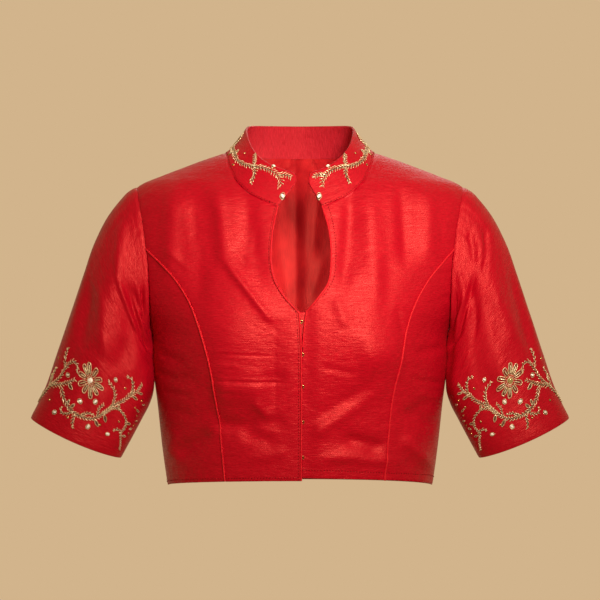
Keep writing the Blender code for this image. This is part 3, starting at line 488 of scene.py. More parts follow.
def seam_puckers(line: Sequence[Sequence[float]], seed: int, reach: float = 15.0,
                 height: float = 0.42) -> tuple[Fold, ...]:
    """Short uneven puckers that run off a seam, which its thread has drawn up.

    Args:
        line: The seam's x and z in the front or back view, in mm.
        seed: What the unevenness starts from.
        reach: How far the puckers run, in mm.
        height: Their usual height in mm.

    Returns:
        The puckers as folds.
    """
    chance = np.random.default_rng(seed)
    rows = np.asarray(line, dtype=float)
    travelled = lengths_along(rows)
    track, spots, at = Track(travelled, rows), [], chance.uniform(*PUCKER_FIRST)
    while at < travelled[-1] - PUCKER_END:
        spots.append(at)
        at += chance.uniform(*PUCKER_SPACING)
    folds = []
    for spot in spots:
        here, ahead = track(np.array([spot, min(spot + 1.0, travelled[-1])]))
        run = (ahead - here) / max(np.hypot(*(ahead - here)), 1e-6)
        way = np.array([run[1], -run[0]]) + run * chance.uniform(-PUCKER_SLANT, PUCKER_SLANT)
        far, near = chance.uniform(*PUCKER_REACH, 2) * reach
        start, end = here - way * near, here + way * far
        lift = chance.uniform(*PUCKER_HEIGHT) * height
        lift = lift if chance.random() < PUCKER_RAISED else -lift
        folds.append(Fold(*start, *end, chance.uniform(*PUCKER_WIDTH), lift,
                          chance.uniform(-PUCKER_LEAN, PUCKER_LEAN)))
    return tuple(folds)


def mirrored(line: Sequence[Sequence[float]], sign: float) -> list[tuple[float, float]]:
    """A seam's table as it lies on one side of the blouse."""
    return [(sign * x, z) for x, z in line]


class Bodice:
    """The bodice's outer face, by an angle round it from the centre front and a level up it."""

    def __init__(self) -> None:
        """Lay out the levels, and gather the folds, creases and puckers."""
        rows = np.array(TORSO_SECTIONS) * MM
        self.track = Track(lengths_along(rows[:, [0, 1]]), rows)
        self.levels = np.linspace(self.track.knots[0], self.track.knots[-1], 2000)
        self.heights = self.track(self.levels)[:, 0]
        self.front_folds = FRONT_FOLDS + FRONT_CREASES
        self.back_folds = BACK_FOLDS + BACK_CREASES
        # Each seam's puckers have a seed of their own, and then their reach and height in mm.
        neck = [(86, 1.5), (60, -8), (45, -22), (25, -60)]
        for number, side in enumerate(Side):
            sign = side.value
            self.front_folds += seam_puckers(mirrored(PRINCESS[side], sign), 11 + number,
                                             height=0.26)
            self.front_folds += seam_puckers(mirrored(ARMHOLE[2:], sign), 21 + number)
            self.front_folds += seam_puckers(mirrored(neck, sign), 31 + number, 12.0, 0.5)
            self.back_folds += seam_puckers(mirrored(ARMHOLE[2:], sign), 41 + number)
        across_neck = [(-84, 2), (-40, 1), (0, 0), (40, 1), (84, 2)]
        self.back_folds += seam_puckers(across_neck, 51, 20.0, 0.5)
        hem = [(-150, -383), (-50, -383), (50, -383), (150, -383)]
        self.back_folds += seam_puckers(hem, 61, 10.0, 0.3)
        self.front_folds += seam_puckers([(x, z + 12.0) for x, z in hem], 62, 10.0, 0.3)

    def level_at(self, height: Array) -> Array:
        """The level of a height above the origin."""
        return np.interp(height, self.heights, self.levels)

    def base(self, angle: Array, level: Array) -> Array:
        """A point of the bodice without its folds. The angle is 0 in front and 90 degrees at +X.

        Args:
            angle: The angles round the bodice.
            level: The levels up it.

        Returns:
            The points.
        """
        height, half_width, front, back = np.moveaxis(self.track(level), -1, 0)
        depth = np.where(np.cos(angle) >= 0.0, front, back)
        return np.stack([half_width * np.sin(angle), -depth * np.cos(angle), height], axis=-1)

    def slopes(self, angle: Array, level: Array, step: float = 1e-4) -> Array:
        """How a point moves for each radian round the bodice and each metre up it.

        Args:
            angle: The angles round the bodice.
            level: The levels up it.
            step: How far apart the compared points lie.

        Returns:
            The two slopes of each point.
        """
        round_it = self.base(angle + step, level) - self.base(angle - step, level)
        up_it = self.base(angle, level + step) - self.base(angle, level - step)
        return np.stack([round_it, up_it], axis=-2) / (2.0 * step)

    def normal(self, angle: Array, level: Array) -> Array:
        """The bodice's outward direction."""
        slopes = self.slopes(angle, level)
        return unit(np.cross(slopes[..., 0, :], slopes[..., 1, :]))

    def relief(self, angle: Array, base: Array, underlap: bool = False,
               plain: bool = False) -> Array:
        """How far the bust, folds and underlap stand from the base.

        Args:
            angle: The angles round the bodice.
            base: The points of the base.
            underlap: Whether the cloth drops behind the other front's edge.
            plain: Whether only the large folds that the solids have count.

        Returns:
            The distances in metres.
        """
        x, z = base[..., 0], base[..., 2]
        bust = ((np.abs(x) - BUST_CENTRE[0] * MM) / (BUST_SPREAD[0] * MM)) ** 2
        bust = bust + ((z - BUST_CENTRE[1] * MM) / (BUST_SPREAD[1] * MM)) ** 2
        loose = smooth((np.abs(x) - FACING_EDGE * MM) / (FACING_EASE * MM))
        folds = fold_heights(x, z, FRONT_FOLDS if plain else self.front_folds)
        front = BUST_RISE * MM * np.exp(-bust) + folds * loose
        if not plain:
            front = front - self.facing_dip(x, z)
        if underlap:
            reach = smooth(1.0 - (x - UNDERLAP_EDGE) / UNDERLAP_REACH)
            closed = smooth((KEYHOLE_CLOSED_Z * MM - z) / UNDERLAP_REACH)
            front = front - UNDERLAP_DROP * reach * closed
        back = fold_heights(x, z, BACK_FOLDS if plain else self.back_folds)
        cosine = np.cos(angle)
        return np.where(cosine >= 0.0, front, back) * smooth(np.abs(cosine) / SIDE_FADE)

    @staticmethod
    def facing_dip(x: Array, z: Array) -> Array:
        """How far the front sinks beside the pressed edge of the facing that is behind it.

        Args:
            x: The points' x, in metres.
            z: The points' z, in metres.

        Returns:
            The depths in metres.
        """
        before = FACING_LINE_X * MM - x
        (low, high), (foot, head) = FACING_SPAN, FACING_FADE
        along = smooth((z / MM - low) / foot) * smooth((high - z / MM) / head)
        strip = np.clip(1.0 + before / FACING_STRIP, 0.0, 1.0) ** FACING_CURVE
        ramp = np.exp(-np.maximum(before, 0.0) / FACING_RAMP) * FACING_LEDGE
        return FACING_STEP * along * np.where(before > 0.0, ramp, strip)

    def point(self, angle: Array, level: Array, rise: Array | float = 0.0,
              underlap: bool = False, plain: bool = False) -> Array:
        """A point of the outer face, moved out by a rise, or in where it is negative.

        Args:
            angle: The angles round the bodice.
            level: The levels up it.
            rise: How far out of the face, in metres.
            underlap: Whether the cloth drops behind the other front's edge.
            plain: Whether only the solids' large folds count.

        Returns:
            The points.
        """
        base = self.base(angle, level)
        offset = self.relief(angle, base, underlap, plain) + rise
        return base + self.normal(angle, level) * offset[..., None]

    def angle_of(self, x: Array, level: Array) -> Array:
        """The angle of a point of the front from its distance to the middle plane."""
        return np.arcsin(np.clip(x / self.track(level)[..., 1], -1.0, 1.0))


BODICE = Bodice()


def spread(cells: int, steps: int, crowded: bool = True) -> Array:
    """Places along a seam in the solid's cells, closer together beside its two ends.

    Args:
        cells: The solid's cells along the seam.
        steps: The shell's steps in each cell.
        crowded: Whether places crowd beside the ends.

    Returns:
        The places, in cells.
    """
    even = np.arange(cells * steps + 1) / steps
    if not crowded:
        return even
    near = np.array(EDGE_STEPS)
    far = np.minimum(even, cells - even)
    even = even[(far <= 0.0) | (far > EDGE_STEPS[-1] * 1.2)]
    return np.unique(np.round(np.concatenate([even, near, cells - near]), 6))


def evenly(places: Array, shares: Array) -> Array:
    """Pick places over the bodice along a fine line of them, at shares of its length."""
    travelled = lengths_along(BODICE.base(places[:, 0], places[:, 1]))
    return read_at(travelled[-1] * shares, travelled, places)


def seam_places(rows: Sequence[Sequence[float]], side: Side, shares: Array) -> Array:
    """Places along a seam that a table gives as seen from the front.

    Args:
        rows: The seam's x and z in mm.
        side: The wearer's side.
        shares: Shares of the seam's length.

    Returns:
        The places, as angle and level.
    """
    table = np.array(rows) * MM
    seam = Track(lengths_along(table), table)(np.linspace(0.0, lengths_along(table)[-1], FINE))
    level = BODICE.level_at(seam[:, 1])
    angle = BODICE.angle_of(side.value * seam[:, 0], level)
    return evenly(np.stack([angle, level], axis=-1), shares)


def armhole_places(side: Side, low: float, high: float, behind: bool, shares: Array) -> Array:
    """Places along the armhole between two heights in mm, on the front or on the back.

    Args:
        side: The wearer's side.
        low: The lower height.
        high: The upper height.
        behind: Whether they are on the back.
        shares: Shares of the seam's length.

    Returns:
        The places, as angle and level.
    """
    turn = np.linspace(0.0, pi, 4 * FINE)
    height = UNDERARM_Z + (SHOULDER_TIP_Z - UNDERARM_Z) * (1.0 - np.cos(turn)) / 2.0
    height = np.unique(np.clip(height, low, high)) * MM
    rows = np.array(ARMHOLE) * MM
    level = BODICE.level_at(height)
    angle = BODICE.angle_of(Track(rows[:, 1], rows[:, 0])(height), level)
    angle[height <= (UNDERARM_Z + 1e-6) * MM] = pi / 2.0
    angle[height >= (SHOULDER_TIP_Z - 1e-6) * MM] = pi / 2.0
    angle = pi - angle if behind else angle
    return evenly(np.stack([side.value * angle, level], axis=-1), shares)


def hem_places(side: Side, start: float, end: float, shares: Array) -> Array:
    """Places along the hem from one angle to another. The hem rises towards the middle.

    Args:
        side: The side whose hem's rise it takes.
        start: The first angle.
        end: The last angle.
        shares: Shares of the seam's length.

    Returns:
        The places, as angle and level.
    """
    angle = np.linspace(start, end, FINE)
    height = HEM_SIDE_Z + HEM_RISE[side] * np.clip(np.cos(angle), 0.0, 1.0)
    return evenly(np.stack([angle, BODICE.level_at(height * MM)], axis=-1), shares)


def shoulder_places(side: Side, shares: Array) -> Array:
    """Places along the shoulder seam, from the armhole to the neck.

    Args:
        side: The wearer's side.
        shares: Shares of the seam's length.

    Returns:
        The places, as angle and level.
    """
    ends = BODICE.level_at(np.array([SHOULDER_TIP_Z, NECK_Z]) * MM)
    level = np.linspace(*ends, FINE)
    return evenly(np.stack([np.full_like(level, side.value * pi / 2.0), level], axis=-1), shares)


def neck_front_places(side: Side, shares: Array) -> Array:
    """Places along one front's neck seam, crowded at the hooked side, out to the shoulder.

    Args:
        side: The wearer's side.
        shares: Shares of the seam's length.

    Returns:
        The places, as angle and level.
    """
    rows = np.array(NECK_FRONT)
    track = Track(np.arange(len(rows)), rows)(np.linspace(0.0, len(rows) - 1.0, FINE))
    level = BODICE.level_at(track[:, 1] * MM)
    places = np.stack([side.value * np.radians(track[:, 0]), level], axis=-1)
    return evenly(places, shares**NECK_CROWDING)


def neck_back_places(shares: Array) -> Array:
    """Places along the back's neck seam, from the wearer's left shoulder to the right."""
    angle = np.linspace(pi / 2.0, 3.0 * pi / 2.0, FINE)
    return evenly(np.stack([angle, np.full_like(angle, BODICE.track.knots[-1])], axis=-1), shares)


def in_turn(parts: Sequence[tuple[Seam, int]], at: Array) -> Array:
    """Places along seams that follow one another.

    Args:
        parts: Each seam as a function of shares of its length, and its count of the solid's cells.
        at: Places along all of them, in cells.

    Returns:
        The places over the bodice.
    """
    places, start = [], 0
    for number, (seam, count) in enumerate(parts):
        last = number == len(parts) - 1
        inside = at[(at >= start) & ((at < start + count) | last)]
        places.append(seam((inside - start) / count))
        start += count
    return np.concatenate(places)


def patch(bottom: Array, top: Array, left: Array, right: Array,
          across: Array | None = None, up: Array | None = None) -> Array:
    """Fill the space between four lines, which share their corners, with a grid.

    Args:
        bottom: Values along the first row.
        top: Values along the last row.
        left: Values up the first column.
        right: Values up the last column.
        across: Each column's share of the width, or None for even ones.
        up: Each row's share of the height, or None for even ones.

    Returns:
        The values by row and column.
    """
    across = np.linspace(0.0, 1.0, len(bottom)) if across is None else across
    up = np.linspace(0.0, 1.0, len(left)) if up is None else up
    across, up = across[:, None], up[:, None, None]
    low = bottom - bottom[0] * (1.0 - across) - bottom[-1] * across
    high = top - top[0] * (1.0 - across) - top[-1] * across
    return left[:, None] * (1.0 - across) + right[:, None] * across + low * (1.0 - up) + high * up


def front_patch(bottom: Array, top: Array, left: Array, right: Array) -> Array:
    """Fill the space between four lines of places as it is seen from the front.

    Args:
        bottom: Places along the hem.
        top: Places along the neck.
        left: Places up the outer seams.
        right: Places up the hooked edge.

    Returns:
        The places by row and column.
    """
    lines = (bottom, top, left, right)
    view = patch(*(BODICE.base(line[:, 0], line[:, 1])[:, ::2] for line in lines))
    level = BODICE.level_at(view[..., 1])
    places = np.stack([BODICE.angle_of(view[..., 0], level), level], axis=-1)
    places[0], places[-1], places[:, 0], places[:, -1] = bottom, top, left, right
    return places


def even_out(places: Array) -> Array:
    """Draw a grid's inner places towards the middle of their neighbours, along the bodice.

    Args:
        places: Places by row and column, which are moved.

    Returns:
        The same places.
    """
    for _ in range(RELAXING_ROUNDS):
        points = BODICE.base(places[..., 0], places[..., 1])
        around = points[:-2, 1:-1] + points[2:, 1:-1] + points[1:-1, :-2] + points[1:-1, 2:]
        pull = around / 4.0 - points[1:-1, 1:-1]
        slopes = BODICE.slopes(places[1:-1, 1:-1, 0], places[1:-1, 1:-1, 1])
        moved = np.linalg.solve(slopes @ np.swapaxes(slopes, -1, -2), slopes @ pull[..., None])
        places[1:-1, 1:-1] += moved[..., 0]
    return places


def between(grid: Array, rows_at: Array, columns_at: Array) -> Array:
    """Read a grid between its rows and columns.

    Args:
        grid: Values by row and column.
        rows_at: Where to read it along its rows' count.
        columns_at: Where to read it along its columns' count.

    Returns:
        The grid that those rows and columns make.
    """
    for axis, at in ((0, rows_at), (1, columns_at)):
        low = np.clip(np.floor(at).astype(int), 0, grid.shape[axis] - 2)
        shape = [1] * grid.ndim
        shape[axis] = len(at)
        share = (at - low).reshape(shape)
        grid = np.take(grid, low, axis) * (1.0 - share) + np.take(grid, low + 1, axis) * share
    return grid


def refined(coarse: Array, edges: tuple[Array, ...], rows_at: Array, columns_at: Array) -> Array:
    """A fine grid over the solid's one, drawn out to the seams' true curves.

    Args:
        coarse: The solid's places.
        edges: The fine places of the bottom, top, left and right seams.
        rows_at: The fine rows, in the solid's cells.
        columns_at: The fine columns, in the solid's cells.

    Returns:
        The fine places.
    """
    grid = between(coarse, rows_at, columns_at)
    lines = (grid[0], grid[-1], grid[:, 0], grid[:, -1])
    return grid + patch(*(edge - line for edge, line in zip(edges, lines)),
                        across=columns_at / columns_at[-1], up=rows_at / rows_at[-1])


def edge_inward(edge: Array, beside: Array) -> Array:
    """Directions from an edge into the cloth, square to the edge.

    Args:
        edge: The edge's points.
        beside: The points next to them.

    Returns:
        One direction for each point.
    """
    run = unit(np.gradient(edge, axis=0))
    inward = beside - edge
    return unit(inward - run * np.sum(inward * run, axis=-1, keepdims=True))


def grid_normals(grid: Array) -> Array:
    """Outward directions of a grid whose columns run round the piece and rows up it."""
    return unit(np.cross(np.gradient(grid, axis=1), np.gradient(grid, axis=0)))


class Edge(Enum):
    """An edge that stitches follow: whether it runs up the grid, and which way to read the grid."""

    BOTTOM = (False, 1)
    LEFT = (True, 1)
    RIGHT = (True, -1)


@dataclass
class Cloth:
    """One cut piece: the grid of its outer face, its thickness, and its places in the flat cloth.

    Attributes:
        name: The piece's name.
        outer: The outer face, by row and column.
        normals: Its outward directions.
        flat: Where each point lies in the flat cloth, in metres, across and along its grain.
        wall: The cloth's thickness.
    """

    name: str
    outer: Array
    normals: Array
    flat: Array
    wall: float = CLOTH_WALL

    def draw_back(self, bottom: Array | float = 0.0, top: Array | float = 0.0,
                  left: Array | float = 0.0, right: Array | float = 0.0) -> "Cloth":
        """Draw the edges back from their seams, within the cloth, by a distance for each edge.

        Args:
            bottom: How far the first row moves, in metres.
            top: How far the last row moves, in metres.
            left: How far the first column moves, in metres.
            right: How far the last column moves, in metres.

        Returns:
            The same cloth.
        """
        outer = self.outer
        rows, columns = outer.shape[:2]
        moves = np.zeros_like(outer)
        level = {0: (edge_inward(outer[0], outer[1]), np.broadcast_to(bottom, columns)),
                 -1: (edge_inward(outer[-1], outer[-2]), np.broadcast_to(top, columns))}
        upright = {0: (edge_inward(outer[:, 0], outer[:, 1]), np.broadcast_to(left, rows)),
                   -1: (edge_inward(outer[:, -1], outer[:, -2]), np.broadcast_to(right, rows))}
        for row, (inward, distance) in level.items():
            moves[row] = inward * distance[:, None]
        for column, (inward, distance) in upright.items():
            moves[:, column] = inward * distance[:, None]
        for row in level:
            for column in upright:
                ways = np.stack([level[row][0][column], upright[column][0][row]])
                kept = np.array([level[row][1][column], upright[column][1][row]])
                moves[row, column] = np.linalg.solve(ways @ ways.T, kept) @ ways
        self.outer = outer + moves
        self._keep_order(moves)
        return self

    def _keep_order(self, moves: Array) -> None:
        """Move the rows and columns beside an edge along with it, dying away inwards.

        Args:
            moves: How far each point of the grid's edge has moved.
        """
        crowd = len(EDGE_STEPS) + 1
        for step in range(1, crowd):
            share = 1.0 - step / crowd
            self.outer[step, crowd:-crowd] += moves[0, crowd:-crowd] * share
            self.outer[-1 - step, crowd:-crowd] += moves[-1, crowd:-crowd] * share
            self.outer[crowd:-crowd, step] += moves[crowd:-crowd, 0] * share
            self.outer[crowd:-crowd, -1 - step] += moves[crowd:-crowd, -1] * share

    def sink(self, bottom: float = 0.0, top: float = 0.0, left: float = 0.0,
             right: float = 0.0, reach: float = SEAM_REACH) -> "Cloth":
        """Let the cloth sink beside its edges by a depth for each, as a seam draws it in.

        Args:
            bottom: The depth at the first row, in metres.
            top: The depth at the last row, in metres.
            left: The depth at the first column, in metres.
            right: The depth at the last column, in metres.
            reach: How far in it dies away.

        Returns:
            The same cloth.
        """
        up, across = lengths_along(self.outer), lengths_along(np.swapaxes(self.outer, 0, 1)).T
        depth = np.zeros(self.outer.shape[:2])
        for far, most in ((up, bottom), (up[-1] - up, top), (across, left),
                          (across[:, -1:] - across, right)):
            depth = np.maximum(depth, most * np.exp(-((far / reach) ** 2)))
        self.outer = self.outer - self.normals * depth[..., None]
        return self

    def line(self, edge: Edge, distance: float) -> tuple[Array, Array]:
        """A line of points at a distance from an edge, with the outward directions along it.

        Args:
            edge: The edge.
            distance: How far in, in metres.

        Returns:
            The points and the directions.
        """
        upright, order = edge.value
        grid, normals = self.outer, grid_normals(self.outer)
        if upright:
            grid, normals = np.swapaxes(grid, 0, 1), np.swapaxes(normals, 0, 1)
        grid, normals = grid[::order], normals[::order]
        far = lengths_along(grid)
        points, ways = [], []
        for column in range(grid.shape[1]):
            for found, values in ((points, grid), (ways, normals)):
                found.append(read_at(distance, far[:, column], values[:, column]))
        return np.array(points), unit(np.array(ways))

    def build(self, finish: Material, slot: str) -> Piece:
        """Make the closed shell, whose edges are rounded as turned cloth is.

        Args:
            finish: The cloth's material.
            slot: Not used.

        Returns:
            The piece.
        """
        rows, columns = self.outer.shape[:2]
        inner = self.outer - self.normals * self.wall
        ring = [(0, c) for c in range(columns - 1)] + [(r, columns - 1) for r in range(rows - 1)]
        ring += [(rows - 1, c) for c in range(columns - 1, 0, -1)]
        ring += [(r, 0) for r in range(rows - 1, 0, -1)]
        at = tuple(np.array(ring).T)
        away = self.outer[at] - self.outer[tuple(np.clip(np.array(ring).T, [[1], [1]],
                                                         [[rows - 2], [columns - 2]]))]
        normals = self.normals[at]
        away = unit(away - normals * np.sum(away * normals, axis=-1, keepdims=True))
        middle = (self.outer[at] + inner[at]) / 2.0 + away * self.wall * EDGE_BULGE
        points = np.concatenate([self.outer.reshape(-1, 3), inner.reshape(-1, 3), middle])
        flat = np.concatenate([self.flat.reshape(-1, 2)] * 2 + [self.flat[at]])
        size = rows * columns
        index = np.arange(size).reshape(rows, columns)
        quads = np.stack([index[:-1, :-1], index[:-1, 1:], index[1:, 1:], index[1:, :-1]], axis=-1)
        quads = quads.reshape(-1, 4)
        edge = index[at]
        beyond = np.roll(edge, -1)
        rim = 2 * size + np.arange(len(edge))
        rim_on = np.roll(rim, -1)
        faces = np.concatenate([quads, quads[:, ::-1] + size,
                                np.stack([beyond, edge, rim, rim_on], axis=-1),
                                np.stack([rim_on, rim, edge + size, beyond + size], axis=-1)])
        return place(self.name, points, faces.tolist(), finish, flat)


def place(name: str, points: Array, faces: list[list[int]], finish: Material,
          flat: Array | None = None) -> Piece:
    """Put a mesh in the scene as a piece that rides on the blouse.

    Args:
        name: The piece's name.
        points: Its points.
        faces: Its faces as lists of point numbers.
        finish: Its material.
        flat: Each point's place in the flat cloth, in metres.

    Returns:
        The piece.
    """
    mesh = bpy.data.meshes.new(name)
    mesh.from_pydata(points.tolist(), [], faces)
    if flat is not None:
        layer = mesh.uv_layers.new(name=CLOTH_MAP)
        corner = np.zeros(len(mesh.loops), dtype=np.int32)
        mesh.loops.foreach_get("vertex_index", corner)
        layer.data.foreach_set("uv", flat[corner].astype(np.float32).ravel())
    mesh.materials.append(finish)
    mesh.shade_smooth()
    piece = bpy.data.objects.new(name, mesh)
    bpy.context.scene.collection.objects.link(piece)
    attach(piece, "root")
    LOG.info("%s: %d faces", name, len(faces))
    return piece


class Pile:
    """Many small closed forms gathered into one mesh."""

    def __init__(self) -> None:
        """Start with no forms."""
        self.points: list[Array] = []
        self.faces: list[list[int]] = []
        self.count = 0

    def add(self, points: Array, faces: list[list[int]]) -> None:
        """Add one form's points and faces.

        Args:
            points: Its points.
            faces: Its faces as lists of point numbers.
        """
        self.points.append(points)
        self.faces += [[corner + self.count for corner in face] for face in faces]
        self.count += len(points)

    def tube(self, centres: Array, outward: Array, radii: Array | float, sides: int = 6,
             flatten: float = 1.0) -> None:
        """Add a closed tube.

        Args:
            centres: The line that it follows.
            outward: Directions away from what it lies on, along the line.
            radii: Its radius at each point.
            sides: The sides of its section.
            flatten: Its height as a share of its width.
        """
        centres = np.asarray(centres)
        run = unit(np.gradient(centres, axis=0))
        across = unit(np.cross(run, outward))
        up = np.cross(across, run)
        turn = np.linspace(0.0, 2.0 * pi, sides, endpoint=False)
        radii = np.broadcast_to(radii, len(centres))[:, None, None]
        rings = centres[:, None] + radii * (across[:, None] * np.cos(turn)[None, :, None]
                                            + up[:, None] * np.sin(turn)[None, :, None] * flatten)
        faces = [list(range(sides))[::-1], [(len(centres) - 1) * sides + k for k in range(sides)]]
        for ring in range(len(centres) - 1):
            low = ring * sides
            for k in range(sides):
                on = (k + 1) % sides
                faces.append([low + k, low + on, low + sides + on, low + sides + k])
        self.add(rings.reshape(-1, 3), faces)

    def dome(self, centre: Array, outward: Array, along: Array, size: Sequence[float],
             height: float, rings: Sequence[Sequence[float]], sides: int = 10) -> None:
        """Add a closed round or oval form, such as a stone, a bead or a sequin.

        Args:
            centre: The middle of its foot.
            outward: The direction that it faces.
            along: The direction of its longer side.
            size: Half its length and half its width.
            height: Its height.
            rings: Share of its size and share of its height for each ring from foot to top.
            sides: The sides of each ring.
        """
        up = outward / np.linalg.norm(outward)
        along = unit(along - up * np.dot(along, up))
        across = np.cross(up, along)
        turn = np.linspace(0.0, 2.0 * pi, sides, endpoint=False)
        points, faces = [], []
        for number, (reach, rise) in enumerate(rings):
            twist = turn + pi / sides * (number % 2)
            points.append(centre + up * rise * height
                          + reach * (along * size[0] * np.cos(twist)[:, None]
                                     + across * size[1] * np.sin(twist)[:, None]))
        for ring in range(len(rings) - 1):
            low = ring * sides
            for k in range(sides):
                on = (k + 1) % sides
                if ring % 2:
                    faces.append([low + k, low + on, low + sides + k])
                    faces.append([low + on, low + sides + on, low + sides + k])
                else:
                    faces.append([low + k, low + on, low + sides + on])
                    faces.append([low + k, low + sides + on, low + sides + k])
        faces.append(list(range(sides))[::-1])
        faces.append([(len(rings) - 1) * sides + k for k in range(sides)])
        self.add(np.concatenate(points), faces)

    def build(self, name: str, finish: Material, slot: str,
              faceted: bool = False) -> Piece:
        """Make the one mesh of all the forms.

        Args:
            name: The piece's name.
            finish: Its material.
            slot: Not used.
            faceted: Whether its faces stay flat, as cut glass is.

        Returns:
            The piece.
        """
        piece = place(name, np.concatenate(self.points), self.faces, finish)
        if faceted:
            piece.data.shade_flat()
        return piece


def linear(colour: str) -> tuple[float, float, float, float]:
    """An sRGB hex colour as linear red, green, blue and alpha."""
    parts = [int(colour[k:k + 2], 16) / 255.0 for k in (1, 3, 5)]
    return (*[v / 12.92 if v <= 0.04045 else ((v + 0.055) / 1.055) ** 2.4 for v in parts], 1.0)


def feed(tree: Tree, node: Node, links: dict[str | int, Socket]) -> None:
    """Link sockets to a node's inputs."""
    for name, source in links.items():
        tree.links.new(source, node.inputs[name])


def add_node(tree: Tree, kind: str, values: dict[str | int, Any] | None = None,
             links: dict[str | int, Socket] | None = None, **settings: Any) -> Node:
    """Add a node with its settings and links.

    Args:
        tree: The tree that it goes into.
        kind: The node's type.
        values: Constant values by input.
        links: The sockets that feed its inputs, by input.
        **settings: The node's own properties.

    Returns:
        The node.
    """
    node = tree.nodes.new(kind)
    for name, value in settings.items():
        setattr(node, name, value)
    for name, value in (values or {}).items():
        node.inputs[name].default_value = value
    feed(tree, node, links or {})
    return node


def new_finish(name: str, **constants: Any) -> tuple[Material, Tree, Node]:
    """Start a material whose shader has some constant inputs.

    Args:
        name: The material's name.
        **constants: Values by input name, with _ for a space.

    Returns:
        The material, its tree and its shader.
    """
    finish = bpy.data.materials.new(name)
    finish.use_nodes = True
    shader = finish.node_tree.nodes["Principled BSDF"]
    for key, value in constants.items():
        shader.inputs[key.replace("_", " ")].default_value = value
    return finish, finish.node_tree, shader


def streaks(tree: Tree, source: Socket, length_mm: float, width_mm: float, detail: float = 2.0,
            upright: bool = False) -> Socket:
    """A pattern of uneven threads.

    Args:
        tree: The material's tree.
        source: The coordinates in metres.
        length_mm: How long a thread's thick part is.
        width_mm: How far apart the threads lie.
        detail: How much finer structure there is.
        upright: Whether the threads run along the second coordinate.

    Returns:
        A value round 0.5.
    """
    scale = (1.0 / (length_mm * MM), 1.0 / (width_mm * MM), 1.0)
    scale = (scale[1], scale[0], 1.0) if upright else scale
    placed = add_node(tree, "ShaderNodeMapping", {"Scale": scale}, {"Vector": source})
    noise = add_node(tree, "ShaderNodeTexNoise", {"Scale": 1.0, "Detail": detail, "Roughness": 0.6},
                     {"Vector": placed.outputs["Vector"]}, noise_dimensions="2D")
    return noise.outputs["Fac"]


@dataclass(frozen=True)
class RawSilk:
    """Dupion, a raw silk that is plain woven from a fine even warp and a slubby weft.

    The eye sees a deep, even red with a crisp gleam on every fold. Where a slub stands up, its
    colour is mixed towards a lighter red, a painted highlight along the weft beside the slub's real
    gloss and bump. The threads are 0.15 mm apart and are drawn at 0.8 mm, because finer ones don't
    show.
    """

    name: str = "red_raw_silk"
    colour: str = "#B60219"
    shade: str = "#9A0113"
    # The lighter red that raised slubs are mixed towards: a painted highlight.
    gleam: str = "#D02028"
    slub_length_mm: float = 24.0
    slub_width_mm: float = 1.1
    thread_mm: float = 0.8
    weft_run_mm: float = 7.0
    warp_run_mm: float = 9.0
    crumple_mm: tuple[float, float] = (17.0, 9.0)
    uneven_dye_mm: float = 70.0
    weft_upright: bool = False
    roughness: tuple[float, float] = (0.34, 0.52)

    def build(self) -> Material:
        """Make the material.

        Returns:
            The material.
        """
        finish, tree, shader = new_finish(
            self.name, Specular_IOR_Level=0.85, Specular_Tint=linear("#FF6A58"), Sheen_Weight=0.02,
            Sheen_Roughness=0.35, Sheen_Tint=linear("#FF5040"), Anisotropic=0.35, IOR=1.54)
        cloth = add_node(tree, "ShaderNodeUVMap", uv_map=CLOTH_MAP).outputs["UV"]
        upright = self.weft_upright
        slubs = streaks(tree, cloth, self.slub_length_mm, self.slub_width_mm, 3.0, upright)
        weft = streaks(tree, cloth, self.weft_run_mm, self.thread_mm, 2.0, upright)
        warp = streaks(tree, cloth, self.warp_run_mm, self.thread_mm, 1.0, not upright)
        dye = streaks(tree, cloth, self.uneven_dye_mm, self.uneven_dye_mm * 0.5, 2.0, upright)
        grain = add_node(tree, "ShaderNodeMapRange", {"From Min": 0.3, "From Max": 0.7},
                         {"Value": weft}).outputs["Result"]
        # Where a slub stands up, the colour is mixed towards the lighter red: a painted highlight.
        painted_slub_highlight = add_node(tree, "ShaderNodeMapRange", {"From Min": 0.56, "From Max": 0.78,
                                                       "To Max": 0.4}, {"Value": slubs})
        deep = add_node(tree, "ShaderNodeMix", {6: linear(self.shade), 7: linear(self.colour)},
                        {0: grain}, data_type="RGBA")
        lit = add_node(tree, "ShaderNodeMix", {7: linear(self.gleam)},
                       {0: painted_slub_highlight.outputs["Result"], 6: deep.outputs[2]}, data_type="RGBA")
        faded = add_node(tree, "ShaderNodeMapRange", {"From Min": 0.35, "From Max": 0.75,
                                                      "To Max": 0.3}, {"Value": dye})
        colour = add_node(tree, "ShaderNodeMix", {7: linear(self.shade)},
                          {0: faded.outputs["Result"], 6: lit.outputs[2]}, data_type="RGBA")
        rough = add_node(tree, "ShaderNodeMapRange",
                         {"From Min": 0.3, "From Max": 0.7, "To Min": self.roughness[1],
                          "To Max": self.roughness[0]}, {"Value": slubs})
        threads = add_node(tree, "ShaderNodeMath", {1: 0.5}, {0: warp, 2: weft},
                           operation="MULTIPLY_ADD")
        height = add_node(tree, "ShaderNodeMath", {1: 1.6}, {0: slubs, 2: threads.outputs[0]},
                          operation="MULTIPLY_ADD")
        crumpled = streaks(tree, cloth, *self.crumple_mm, 3.0, upright)
        height = add_node(tree, "ShaderNodeMath", {1: 5.0}, {0: crumpled, 2: height.outputs[0]},
                          operation="MULTIPLY_ADD")
        bump = add_node(tree, "ShaderNodeBump", {"Strength": 0.55, "Distance": 0.3 * MM},
                        {"Height": height.outputs[0]})
        grain_way = add_node(tree, "ShaderNodeTangent", direction_type="UV_MAP", uv_map=CLOTH_MAP)
        feed(tree, shader, {"Base Color": colour.outputs[2], "Roughness": rough.outputs["Result"],
                            "Normal": bump.outputs["Normal"],
                            "Tangent": grain_way.outputs["Tangent"]})
        return finish


